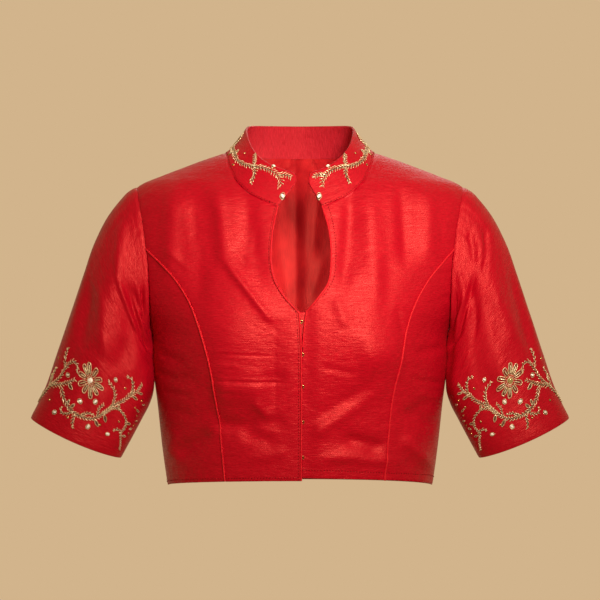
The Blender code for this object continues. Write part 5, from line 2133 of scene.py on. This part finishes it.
# Coils and the flower's parts, in counts, degrees and mm, then what is set among them.
COIL_RADIUS = 0.5
COIL_PITCH = 0.6
COIL_BEND = 26.0
PETALS = 10
PETAL_MM = 16.6
PETAL_SWAY, FLOWER_TURN = 4.0, 8.0
PETAL_PAD_FROM, PETAL_PAD_WIDTH = 6.0, 3.2
PETAL_RIB_FROM, PETAL_RIB_SHORT, PETAL_RIB_RADIUS = 6.8, 2.6, 0.72
PETAL_LOOP_FROM, PETAL_LOOP_HALF, PETAL_LOOP_RADIUS = 6.4, 2.35, 0.52
HEART_COILS = 16
HEART_FROM, HEART_TO, HEART_RADIUS = 4.3, 6.5, 0.46
FLOWER_RING = 3.5
FLOWER_STONE = (3.1 * MM, 3.1 * MM)
FLOWER_STONE_HEIGHT = 2.2 * MM
OVAL_SHARE = 0.7
CUP_GAP, CUP_RADIUS = 0.75, 0.36
STONE_HEIGHT = 1.3 * MM
SEQUIN_SIZE, SEQUIN_HEIGHT = (1.45 * MM, 1.45 * MM), 0.5 * MM
BEAD_SIZE, BEAD_HEIGHT = (0.55 * MM, 0.55 * MM), 0.8 * MM
STONE_RINGS = ((1.0, 0.0), (1.0, 0.35), (0.72, 0.8), (0.38, 1.0))
BEAD_RINGS = ((0.7, 0.0), (1.0, 0.35), (0.8, 0.8), (0.35, 1.0))
SEQUIN_RINGS = ((0.8, 0.0), (1.0, 0.25), (0.9, 0.8), (0.4, 0.55))


def heading(degrees: float) -> tuple[Array, Array]:
    """The direction on a chart at some degrees, and the one square to it.

    Args:
        degrees: The angle from across towards up.

    Returns:
        The two directions, each of length 1.
    """
    way = np.array([np.cos(np.radians(degrees)), np.sin(np.radians(degrees))])
    return way, np.array([-way[1], way[0]])


class Zardozi:
    """Raised gilt embroidery: cut coils couched down one by one, with stones and sequins."""

    def __init__(self, chart: Chart, name: str, seed: int) -> None:
        """Start one spray's meshes.

        Args:
            chart: The chart that it is placed by.
            name: What its meshes' names start with.
            seed: What its unevenness starts from.
        """
        self.chart = chart
        self.name = name
        self.wire, self.sequins, self.stones, self.gold = Pile(), Pile(), Pile(), Pile()
        # The dark padding under the coils is painted shade for the gaps between them.
        self.ground = Pile()
        self.chance = np.random.default_rng(seed)

    def coil(self, line: Array, radius: float = COIL_RADIUS) -> None:
        """Couch one cut coil down along a line on the chart, in mm.

        Args:
            line: Its middle line.
            radius: Its radius in mm.
        """
        far = lengths_along(line)
        count = max(4, int(round(far[-1] / COIL_PITCH)))
        at = np.linspace(0.0, far[-1], count + 1)
        points, normals = self.chart.at(read_at(at, far, line))
        share = at / far[-1]
        arch = np.sqrt(np.clip(1.0 - (2.0 * share - 1.0) ** 4, 0.0, 1.0))
        points = points + normals * (radius * MM * (0.35 + 1.25 * arch))[:, None]
        ridge = np.where(np.arange(len(at)) % 2, 1.0, 0.8)
        ridge[0] = ridge[-1] = 0.62
        self.wire.tube(points, normals, radius * MM * ridge)

    def padding(self, line: Array, widths: Array | float) -> None:
        """Lay the dark padding that the coils cross, along a line and of given widths: painted
        shade in the gaps between coils.
        """
        points, normals = self.chart.at(line, 0.1 * MM)
        self.ground.tube(points, normals, np.asarray(widths) * MM / 2.0, 6, 0.35)

    def curved(self, start: Array, degrees: float, length: float, bend: float,
               radius: float = COIL_RADIUS) -> None:
        """Couch one coil from a point, in a direction, that bends by some degrees along it.

        Args:
            start: Its first point on the chart, in mm.
            degrees: Its direction.
            length: Its length in mm.
            bend: How many degrees it bends by.
            radius: Its radius in mm.
        """
        turn = np.radians(degrees + bend * np.linspace(-0.5, 0.5, 7))
        steps = np.stack([np.cos(turn), np.sin(turn)], axis=-1) * length / 6.0
        self.coil(np.concatenate([start[None], start + np.cumsum(steps[:-1], axis=0)]), radius)

    def vine(self, vine: Vine) -> None:
        """Couch a stem: pairs of coils that slant off its line like an ear of wheat.

        Args:
            vine: The stem's line and its coils' size.
        """
        knots = np.array(vine.line, dtype=float)
        far = lengths_along(knots)
        track = Track(far, knots)
        fine = track(np.linspace(0.0, far[-1], 200))
        travelled = lengths_along(fine)
        along = np.linspace(0.0, 1.0, len(fine[::4]))
        self.padding(fine[::4], vine.leaf * 0.5 * (1.0 + (vine.taper - 1.0) * along)
                     * np.clip(along * 8.0, 0.3, 1.0) * np.clip((1.0 - along) * 8.0, 0.3, 1.0))
        at, sign = 0.0, 1.0
        while at < travelled[-1] - 0.8:
            here = read_at(at, travelled, fine)
            ahead = read_at(min(at + 0.6, travelled[-1]), travelled, fine)
            degrees = float(np.degrees(np.arctan2(*(ahead - here)[::-1])))
            share = at / travelled[-1]
            length = vine.leaf * (1.0 + (vine.taper - 1.0) * share)
            length = length * self.chance.uniform(*UNEVEN_COIL)
            slant = vine.slant * self.chance.uniform(*UNEVEN_SLANT)
            foot = here + self.chance.uniform(-STRAY, STRAY, 2)
            self.curved(foot, degrees + sign * slant, length, -sign * COIL_BEND)
            at += vine.spacing * 0.5 * self.chance.uniform(*UNEVEN_SPACING)
            sign = -sign
        tail = track(np.linspace(max(far[-1] - 3.0, 0.0), far[-1], 5))
        self.coil(tail)

    def leaf(self, leaf: Leaf) -> None:
        """Couch a leaf: two coils that bow apart and meet over its padding.

        Args:
            leaf: Its place, direction and size.
        """
        foot = np.array([leaf.across, leaf.up])
        way, side = heading(leaf.degrees)
        share = np.linspace(0.0, 1.0, 13)
        self.padding(foot + way * (leaf.length * share)[:, None],
                     leaf.width * np.sin(pi * np.clip(share, 0.06, 0.94)) ** 0.85)
        for sign in (-1.0, 1.0):
            bow = sign * leaf.width / 2.0 * np.sin(pi * share) ** 0.85
            self.coil(foot + way * (leaf.length * share)[:, None] + side * bow[:, None], 0.45)

    def petal(self, middle: Array, degrees: float) -> None:
        """Couch a looped petal over its padding, with a rib up its middle.

        Args:
            middle: The flower's middle, in mm on the chart.
            degrees: The petal's direction.
        """
        way, side = heading(degrees + self.chance.uniform(-PETAL_SWAY, PETAL_SWAY) + FLOWER_TURN)
        long = PETAL_MM * self.chance.uniform(*UNEVEN_PETAL)
        share = np.linspace(0.0, 1.0, 9)
        round_off = np.sin(pi * np.clip(share * 0.8 + 0.12, 0.0, 0.95)) ** 0.6
        pad = PETAL_PAD_FROM + (long - PETAL_RIB_FROM) * share
        self.padding(middle + way * pad[:, None], PETAL_PAD_WIDTH * round_off)
        rib = np.linspace(PETAL_RIB_FROM, long - PETAL_RIB_SHORT, 5)
        self.coil(middle + way * rib[:, None], PETAL_RIB_RADIUS)
        reach = PETAL_LOOP_FROM + (long - PETAL_LOOP_FROM) * np.sin(share * pi / 2.0)
        bow = np.clip(np.sin(np.linspace(0.16 * pi, pi, 9)), 0.0, 1.0) ** 0.6 * PETAL_LOOP_HALF
        loop = np.concatenate([np.stack([reach, bow], axis=-1),
                               np.stack([reach, -bow], axis=-1)[::-1][1:]])
        self.coil(middle + way * loop[:, :1] + side * loop[:, 1:], PETAL_LOOP_RADIUS)

    def flower(self, centre: tuple[float, float], gold_eye: bool) -> None:
        """Couch a flower: looped petals round a ring of short coils and a stone.

        Args:
            centre: Its middle, in mm on the chart.
            gold_eye: Whether its stone has a gold foil.
        """
        middle = np.array(centre)
        for number in range(PETALS):
            self.petal(middle, 360.0 * number / PETALS)
        for number in range(HEART_COILS):
            way, _ = heading(360.0 * number / HEART_COILS)
            spoke = np.linspace(HEART_FROM, HEART_TO, 5)
            self.coil(middle + way * spoke[:, None], HEART_RADIUS)
        ring = np.radians(np.linspace(0.0, 352.0, 25))
        self.coil(middle + FLOWER_RING * np.stack([np.cos(ring), np.sin(ring)], axis=-1))
        points, normals = self.chart.at(middle)
        along = self.chart.at(middle + (1.0, 0.0))[0][0] - points[0]
        target = self.gold if gold_eye else self.stones
        target.dome(points[0] + normals[0] * 0.4 * MM, normals[0], along, FLOWER_STONE,
                    FLOWER_STONE_HEIGHT, STONE_RINGS, 12)

    def stone(self, across: float, up: float, degrees: float, size: float) -> None:
        """Set an oval stone in a cup of gilt wire.

        Args:
            across: Millimetres across the chart.
            up: Millimetres up it.
            degrees: The direction of its long side.
            size: Half its length in mm.
        """
        centre = np.array([across, up])
        way, side = heading(degrees)
        ring = np.radians(np.linspace(0.0, 350.0, 19))
        wide = size * OVAL_SHARE
        self.coil(centre + way * (np.cos(ring) * (size + CUP_GAP))[:, None]
                  + side * (np.sin(ring) * (wide + CUP_GAP))[:, None], CUP_RADIUS)
        self.padding(centre + way * np.linspace(-size - 0.5, size + 0.5, 9)[:, None],
                     (wide + 0.6) * 2.0 * np.sin(pi * np.linspace(0.12, 0.88, 9)) ** 0.5)
        points, normals = self.chart.at(centre)
        along = self.chart.at(centre + way)[0][0] - points[0]
        self.stones.dome(points[0] + normals[0] * 0.5 * MM, normals[0], along,
                         (size * MM, wide * MM), STONE_HEIGHT, STONE_RINGS, 8)

    def bead(self, across: float, up: float) -> None:
        """Sew down a cupped sequin with a seed bead in its middle.

        Args:
            across: Millimetres across the chart.
            up: Millimetres up it.
        """
        points, normals = self.chart.at(np.array([across, up]))
        along = self.chart.at(np.array([across + 1.0, up]))[0][0] - points[0]
        lean = unit(normals[0] + self.chance.uniform(-0.25, 0.25, 3))
        self.sequins.dome(points[0] + normals[0] * 0.1 * MM, lean, along, SEQUIN_SIZE,
                          SEQUIN_HEIGHT, SEQUIN_RINGS, 10)
        self.sequins.dome(points[0] + lean * 0.35 * MM, lean, along, BEAD_SIZE, BEAD_HEIGHT,
                          BEAD_RINGS, 8)

    def sew(self, motif: Motif) -> None:
        """Work every part of a motif.

        Args:
            motif: The spray.
        """
        for vine in motif.vines:
            self.vine(vine)
        for leaf in motif.leaves:
            self.leaf(leaf)
        for stone in motif.stones:
            self.stone(*stone)
        for bead in motif.beads:
            self.bead(*bead)
        if motif.flower:
            self.flower(motif.flower, motif.gold_eye)

    def build(self, finishes: Finishes) -> None:
        """Make a mesh for each material of the embroidery.

        Args:
            finishes: The blouse's materials.
        """
        for pile, part, finish, faceted in (
                (self.ground, "padding", finishes.padding, False),
                (self.wire, "gilt_coils", finishes.gilt, False),
                (self.sequins, "sequins", finishes.sequin, False),
                (self.stones, "stones", finishes.stone, True),
                (self.gold, "gold_stone", finishes.gold_stone, True)):
            if pile.count:
                pile.build(f"{self.name}_{part}", finish, "hooks", faceted)


class Sewing:
    """Machine stitches of red thread, as short sunk dashes along a line."""

    def __init__(self, seed: int = 5) -> None:
        """Start with no stitches, and with the seed of their unevenness."""
        self.pile = Pile()
        self.chance = np.random.default_rng(seed)

    def run(self, points: Array, normals: Array, stitch: float = 2.2 * MM, gap: float = 1.2 * MM,
            radius: float = 0.4 * MM) -> None:
        """Sew one line.

        Args:
            points: The line on the cloth.
            normals: Directions away from the cloth.
            stitch: The length of a stitch.
            gap: The needle hole between two.
            radius: Half the thread's thickness.
        """
        far = lengths_along(points)
        for start in np.arange(0.0, far[-1] - stitch, stitch + gap):
            at = start + stitch * np.linspace(0.0, 1.0, 5)
            line, ways = read_at(at, far, points), unit(read_at(at, far, normals))
            lift = radius * np.array([-0.9, 0.55, 0.85, 0.55, -0.9])
            thick = radius * np.array([0.6, 1.0, 1.0, 1.0, 0.6]) * self.chance.uniform(0.9, 1.1)
            self.pile.tube(line + ways * lift[:, None], ways, thick, 5)

    def build(self, name: str, finish: Material) -> None:
        """Make the one mesh of the stitches."""
        self.pile.build(name, finish, "silk")


# One cuff's spray: a flower, the ring of stems round it, and sprigs to either side. Across is
# millimetres from the sleeve's front line towards its inner seam, and up is from the cuff's edge.
CUFF_FRONT = Motif(
    vines=(
        Vine(((-76, 16), (-60, 34), (-48, 48), (-43, 62), (-36, 71), (-29, 71), (-27, 65))),
        Vine(((-45, 60), (-50, 68), (-50, 77)), leaf=3.8),
        Vine(((-60, 34), (-62, 44), (-58, 54)), leaf=3.6),
        Vine(((-56, 37), (-40, 46), (-26, 58))),
        Vine(((-44, 45), (-36, 37), (-24, 31), (-10, 29), (2, 31), (12, 38), (20, 52), (25, 69),
              (20, 82), (10, 84)), leaf=4.6),
        Vine(((-12, 29), (-11, 21), (-7, 13)), leaf=4),
        Vine(((-15, 30), (-22, 23), (-29, 22), (-31, 27)), leaf=3.8),
        Vine(((17, 46), (27, 66), (36, 84), (39, 101), (33, 112), (27, 108))),
        Vine(((37, 90), (43, 104), (46, 119)), leaf=3.6),
        Vine(((22, 58), (34, 66), (45, 62), (50, 51), (48, 38), (54, 26), (59, 13)), leaf=3.8),
        Vine(((48, 40), (42, 41), (37, 36)), leaf=3.2),
        Vine(((-4, 30), (2, 38), (9, 40)), leaf=3.4),
        Vine(((14, 40), (12, 50), (15, 59)), leaf=3.4),
    ),
    leaves=(Leaf(-34, 50, -12), Leaf(12, 36, -38), Leaf(-20, 31, 60, 7, 3),
            Leaf(40, 94, 12, 8, 3.2), Leaf(48, 56, 20, 8, 3.2), Leaf(-70, 22, 128, 8, 3.2),
            Leaf(51, 36, 14, 7, 2.8), Leaf(45, 104, 36, 7, 2.6), Leaf(52, 83, -8, 6, 2.4),
            Leaf(57, 95, 34, 5, 2), Leaf(60, 67, 24, 5, 2), Leaf(57, 50, 48, 6, 2.4),
            Leaf(32, 72, -74, 6, 2.4), Leaf(20, 48, -58, 9, 4), Leaf(-59, 41, 118, 7, 2.8),
            Leaf(-25, 32, 84, 6, 2.6), Leaf(-6, 30, 40, 8, 3)),
    stones=((-36, 18, 20, 2), (-12, 43, 0, 2.4), (5, 54, 80, 2.4), (8, 24, 70, 2.3),
            (-38, 56, 10, 2), (17, 93, 60, 1.9), (33, 28, 30, 2.1)),
    beads=((-50, 25), (-61, 62), (31, 95), (53, 99), (50, 84), (58, 76), (60, 44), (62, 60),
           (40, 52), (-18, 21), (20, 34), (-66, 45)),
    flower=(-9, 69),
)
# Behind the outer line only the stems run on, since the other side of the cuff doesn't show.
CUFF_BACK = Motif(
    vines=(
        Vine(((-76, 16), (-90, 28), (-101, 42), (-106, 57), (-100, 69), (-91, 68))),
        Vine(((-94, 33), (-112, 29), (-130, 31), (-146, 41), (-154, 57), (-149, 69), (-141, 67))),
        Vine(((-118, 29), (-123, 21), (-122, 13)), leaf=3.8),
        Vine(((-142, 38), (-156, 34), (-166, 26)), leaf=3.8),
    ),
    leaves=(Leaf(-104, 48, 170), Leaf(-128, 31, 120, 8, 3.2), Leaf(-152, 50, 200, 8, 3.2),
            Leaf(-86, 24, -60, 7, 2.8), Leaf(-96, 36, 20, 8, 3), Leaf(-106, 56, 100, 7, 2.8),
            Leaf(-140, 36, 300, 8, 3), Leaf(-148, 68, 20, 7, 2.6), Leaf(-116, 30, 74, 8, 3),
            Leaf(-82, 20, 200, 7, 2.6)),
    stones=((-124, 48, 90, 2.3), (-138, 54, 40, 2), (-104, 20, 20, 2)),
    beads=((-112, 62), (-96, 52), (-134, 20), (-162, 46), (-172, 20)),
)
# Half the collar: across is millimetres from its front end, and up is out of its chart's height.
COLLAR_SPRAY = Motif(
    vines=(
        Vine(((252, 17), (232, 20), (212, 15), (192, 14), (172, 20), (152, 19), (132, 13),
              (108, 12), (86, 13), (70, 18), (54, 24), (40, 26), (25, 24), (17, 21),
              (12, 17)), leaf=4.7, spacing=4, taper=0.9),
        Vine(((62, 21), (72, 26), (84, 30))),
        Vine(((60, 22), (50, 16), (44, 9))),
        Vine(((28, 24.5), (18, 27), (9, 27))),
        Vine(((128, 13), (136, 22), (148, 27)), leaf=3.4),
        Vine(((176, 19), (184, 26), (196, 28)), leaf=3.4),
        Vine(((220, 17), (212, 10), (204, 7)), leaf=3.4),
    ),
    leaves=(Leaf(104, 12.5, 40, 8, 3), Leaf(116, 12, 220, 7, 2.8), Leaf(160, 19, 250, 7, 2.8),
            Leaf(236, 19, 140, 7, 2.8)),
    stones=((2.4, 12.8, 8, 2.8), (41, 31, 0, 1.9), (150, 9, 0, 1.9)),
    beads=((110, 6), (86, 7), (96, 22), (170, 9), (205, 22), (252, 8)),
)
# The sleeve's row along which a cuff's millimetres are measured, and the collar's height.
CUFF_CHART_ROW = 20
COLLAR_CHART_HEIGHT = 34.0
CUFF_SPRAYS = {Side.RIGHT: (CUFF_FRONT, CUFF_BACK),
               Side.LEFT: (replace(CUFF_FRONT, gold_eye=True), CUFF_BACK)}
COLLAR_SPRAYS = {Side.RIGHT: (COLLAR_SPRAY,), Side.LEFT: (COLLAR_SPRAY,)}

# The lines of stitches that show: a node, its edge, and how far in they run, in mm.
STITCHED = (
    ("front_right", Edge.BOTTOM, 3.6), ("side_front_right", Edge.BOTTOM, 3.6),
    ("front_left", Edge.BOTTOM, 9.0), ("side_front_left", Edge.BOTTOM, 9.0),
    ("back", Edge.BOTTOM, 6.0), ("collar", Edge.BOTTOM, 1.5), ("front_left", Edge.LEFT, 6.4),
    ("front_right", Edge.RIGHT, 2.6),
)
# What each piece was cut to, as far as it shows. Both sides are cut alike.
CUTS = {
    "front": Cut(0.19, 0.40, 0.0475),
    "side_front": Cut(0.19, 0.28, 0.0245),
    "back": Cut(0.52, 0.41, 0.165),
    "back_lining": Cut(0.51, 0.40, 0.155),
    "sleeve": Cut(0.42, 0.31, 0.076),
    "collar": Cut(0.52, 0.05, 0.018),
    "placket": Cut(0.029, 0.19, 0.0055),
}


@dataclass
class Blouse:
    """The dressed blouse, piece by piece."""

    finishes: Finishes
    cloths: dict[str, Cloth] = field(default_factory=dict)
    front_lines: dict[Side, int] = field(default_factory=dict)

    def dress_panel(self, cloth: Cloth, node: str, finish: Material,
                    slot: str = "silk") -> None:
        """Make one cut piece in place of its solid.

        Args:
            cloth: The cut piece.
            node: The solid's node.
            finish: The cloth's material.
            slot: Passed on to the piece's build, which doesn't use it.
        """
        piece = cloth.build(finish, slot)
        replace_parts(piece, node)
        self.cloths[node] = cloth

    def dress_cloth(self) -> None:
        """Make every cut piece."""
        silk = self.finishes.silk
        for side in Side:
            front = CentreFront(side, CUTS["front"])
            self.dress_panel(front.cloth(), f"front_{side.label}", silk)
            flank = SideFront(side, CUTS["side_front"])
            self.dress_panel(flank.cloth(), f"side_front_{side.label}", silk)
            sleeve = Sleeve(side, CUTS["sleeve"])
            self.dress_panel(sleeve.cloth(), f"sleeve_{side.label}", silk)
            self.front_lines[side] = int(np.argmin(np.abs(sleeve.turn - pi / 2.0)))
        back = Back(CUTS["back"], CUTS["back_lining"])
        self.dress_panel(back.cloth(), "back", silk)
        self.dress_panel(back.lining(), "back_lining", self.finishes.satin,
                         "lining")
        collar = Collar(CUTS["collar"], CUTS["collar"])
        band, facing = collar.cloths()
        self.dress_panel(band, "collar", silk)
        self.dress_panel(facing, "collar_facing", self.finishes.facing)

    def sew(self) -> None:
        """Add the stitches that show."""
        seams = Sewing()
        for node, edge, distance in STITCHED:
            points, normals = self.cloths[node].line(edge, distance * MM)
            if edge is Edge.LEFT:
                high = points[:, 2] > KEYHOLE_CLOSED_Z * MM
                points, normals = points[high], normals[high]
            seams.run(points, normals)
        seams.build("red_stitches", self.finishes.thread)

    def sleeve_chart(self, side: Side) -> Chart:
        """A chart of a sleeve: mm round it from its front line towards its inner seam, mm up.

        Args:
            side: The wearer's side.

        Returns:
            The chart.
        """
        cloth = self.cloths[f"sleeve_{side.label}"]
        ring = cloth.outer[CUFF_CHART_ROW]
        far = lengths_along(ring) / MM
        front = self.front_lines[side]
        across = (far - far[front]) * (1.0 if side is Side.RIGHT else -1.0)
        up = lengths_along(cloth.outer[:, front]) / MM
        return Chart(cloth.outer, across, up)

    def collar_chart(self, side: Side) -> Chart:
        """A chart of the collar's half: mm along it from its front end, and mm up its height.

        Args:
            side: The wearer's side.

        Returns:
            The chart.
        """
        cloth = self.cloths["collar"]
        far = lengths_along(cloth.outer[0]) / MM
        across = far if side is Side.LEFT else far[-1] - far
        up = np.linspace(0.0, 1.0, len(cloth.outer)) * COLLAR_CHART_HEIGHT
        return Chart(cloth.outer, across, up)

    def embroider(self) -> None:
        """Work the cuffs and the collar."""
        for number, side in enumerate(Side):
            for place_name, chart, motifs in (
                    ("cuff", self.sleeve_chart(side), CUFF_SPRAYS[side]),
                    ("collar", self.collar_chart(side), COLLAR_SPRAYS[side])):
                work = Zardozi(chart, f"{place_name}_{side.label}", 80 + number)
                for motif in motifs:
                    work.sew(motif)
                work.build(self.finishes)


@dataclass(frozen=True)
class Lamp:
    """A soft square lamp: its place and side in metres, its watts, and its beam in degrees."""

    name: str
    at: tuple[float, float, float]
    size: float
    power: float
    beam: float = 180.0

    def hang(self, turn: Sequence[float]) -> None:
        """Hang the lamp, turned by three angles.

        Args:
            turn: The angles, in radians.
        """
        source = bpy.data.lights.new(f"{self.name}_light", "AREA")
        source.size, source.energy, source.spread = self.size, self.power, radians(self.beam)
        holder = bpy.data.objects.new(f"{self.name}_light", source)
        holder.location, holder.rotation_euler = self.at, turn
        bpy.context.scene.collection.objects.link(holder)

    def turned_to(self, target: Sequence[float]) -> tuple[float, float, float]:
        """The angles that turn it to a point.

        Args:
            target: The point, in metres.

        Returns:
            The angles, in radians.
        """
        aim = np.array(target) - np.array(self.at)
        flat = float(np.hypot(aim[0], aim[1]))
        return float(np.arctan2(flat, -aim[2])), 0.0, float(np.arctan2(-aim[0], aim[1]))


@dataclass
class Studio:
    """A pale floor, soft lights and the camera."""

    floor_z: float = -1.38
    floor_radius: float = 2.4
    floor_sides: int = 96
    distance: float = 2.8
    framed: float = 0.696
    eye_z: float = -0.169
    sensor: float = 36.0
    aim: tuple[float, float, float] = (0.02, 0.0, -0.13)
    lamps: tuple[Lamp, ...] = (Lamp("key", (0.45, -1.15, 1.05), 0.4, 1.5, 72.0),
                               Lamp("front", (0.3, -1.35, 0.2), 0.3, 1.55, 42.0),
                               Lamp("back", (0.3, 2.2, 1.6), 1.4, 12.0))
    inner_lamp: Lamp = Lamp("lining", (0.085, -0.03, -0.15), 0.1, 0.2)
    inner_turn: float = 48.0

    def build(self) -> None:
        """Make them."""
        bpy.context.scene.view_settings.view_transform = "Standard"
        self.lay_floor()
        self.fill_air()
        for lamp in self.lamps:
            lamp.hang(lamp.turned_to(self.aim))
        self.inner_lamp.hang((pi / 2.0, 0.0, radians(self.inner_turn)))
        self.set_camera()

    def lay_floor(self) -> None:
        """Lay a round floor of pale paper."""
        turn = np.linspace(0.0, 2.0 * pi, self.floor_sides, endpoint=False)
        disc = np.stack([self.floor_radius * np.cos(turn), self.floor_radius * np.sin(turn),
                         np.full_like(turn, self.floor_z)], axis=-1)
        mesh = bpy.data.meshes.new("studio_floor")
        mesh.from_pydata(disc.tolist(), [], [list(range(len(turn)))])
        mesh.materials.append(Trim("pale_floor_paper", "#E4D3B8", "#DDCBAE", 90.0,
                                   (0.8, 0.9)).build())
        floor = bpy.data.objects.new("studio_floor", mesh)
        bpy.context.scene.collection.objects.link(floor)

    def fill_air(self) -> None:
        """Fill the room with plain light, weaker in front, so that folds keep their shade."""
        world = bpy.data.worlds.new("studio_air")
        world.use_nodes = True
        tree = world.node_tree
        air = tree.nodes["Background"]
        air.inputs["Color"].default_value = linear("#D2B48C")
        way = add_node(tree, "ShaderNodeTexCoord").outputs["Generated"]
        parts = add_node(tree, "ShaderNodeSeparateXYZ", links={"Vector": way})
        level = add_node(tree, "ShaderNodeMapRange",
                         {"From Min": -0.2, "From Max": 0.7, "To Min": 0.4, "To Max": 1.0},
                         {"Value": parts.outputs["Y"]}, interpolation_type="SMOOTHSTEP")
        feed(tree, air, {"Strength": level.outputs["Result"]})
        bpy.context.scene.world = world

    def set_camera(self) -> None:
        """Set the camera level with the blouse and straight in front of it."""
        eye = bpy.data.cameras.new("studio_camera")
        eye.sensor_width = self.sensor
        eye.lens = self.sensor * self.distance / self.framed
        camera = bpy.data.objects.new("studio_camera", eye)
        camera.location = (0.0, -self.distance, self.eye_z)
        camera.rotation_euler = (pi / 2.0, 0.0, 0.0)
        bpy.context.scene.collection.objects.link(camera)
        bpy.context.scene.camera = camera


def main() -> None:
    """Dress the frame: cloth, closure, sewing and embroidery, then the stage, lights and camera."""
    logging.basicConfig(level=logging.INFO, format="%(message)s")
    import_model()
    finishes = Finishes()
    blouse = Blouse(finishes)
    blouse.dress_cloth()
    Closure(CUTS["placket"]).dress(finishes)
    blouse.sew()
    blouse.embroider()
    Studio().build()


if __name__ == "__main__":
    main()
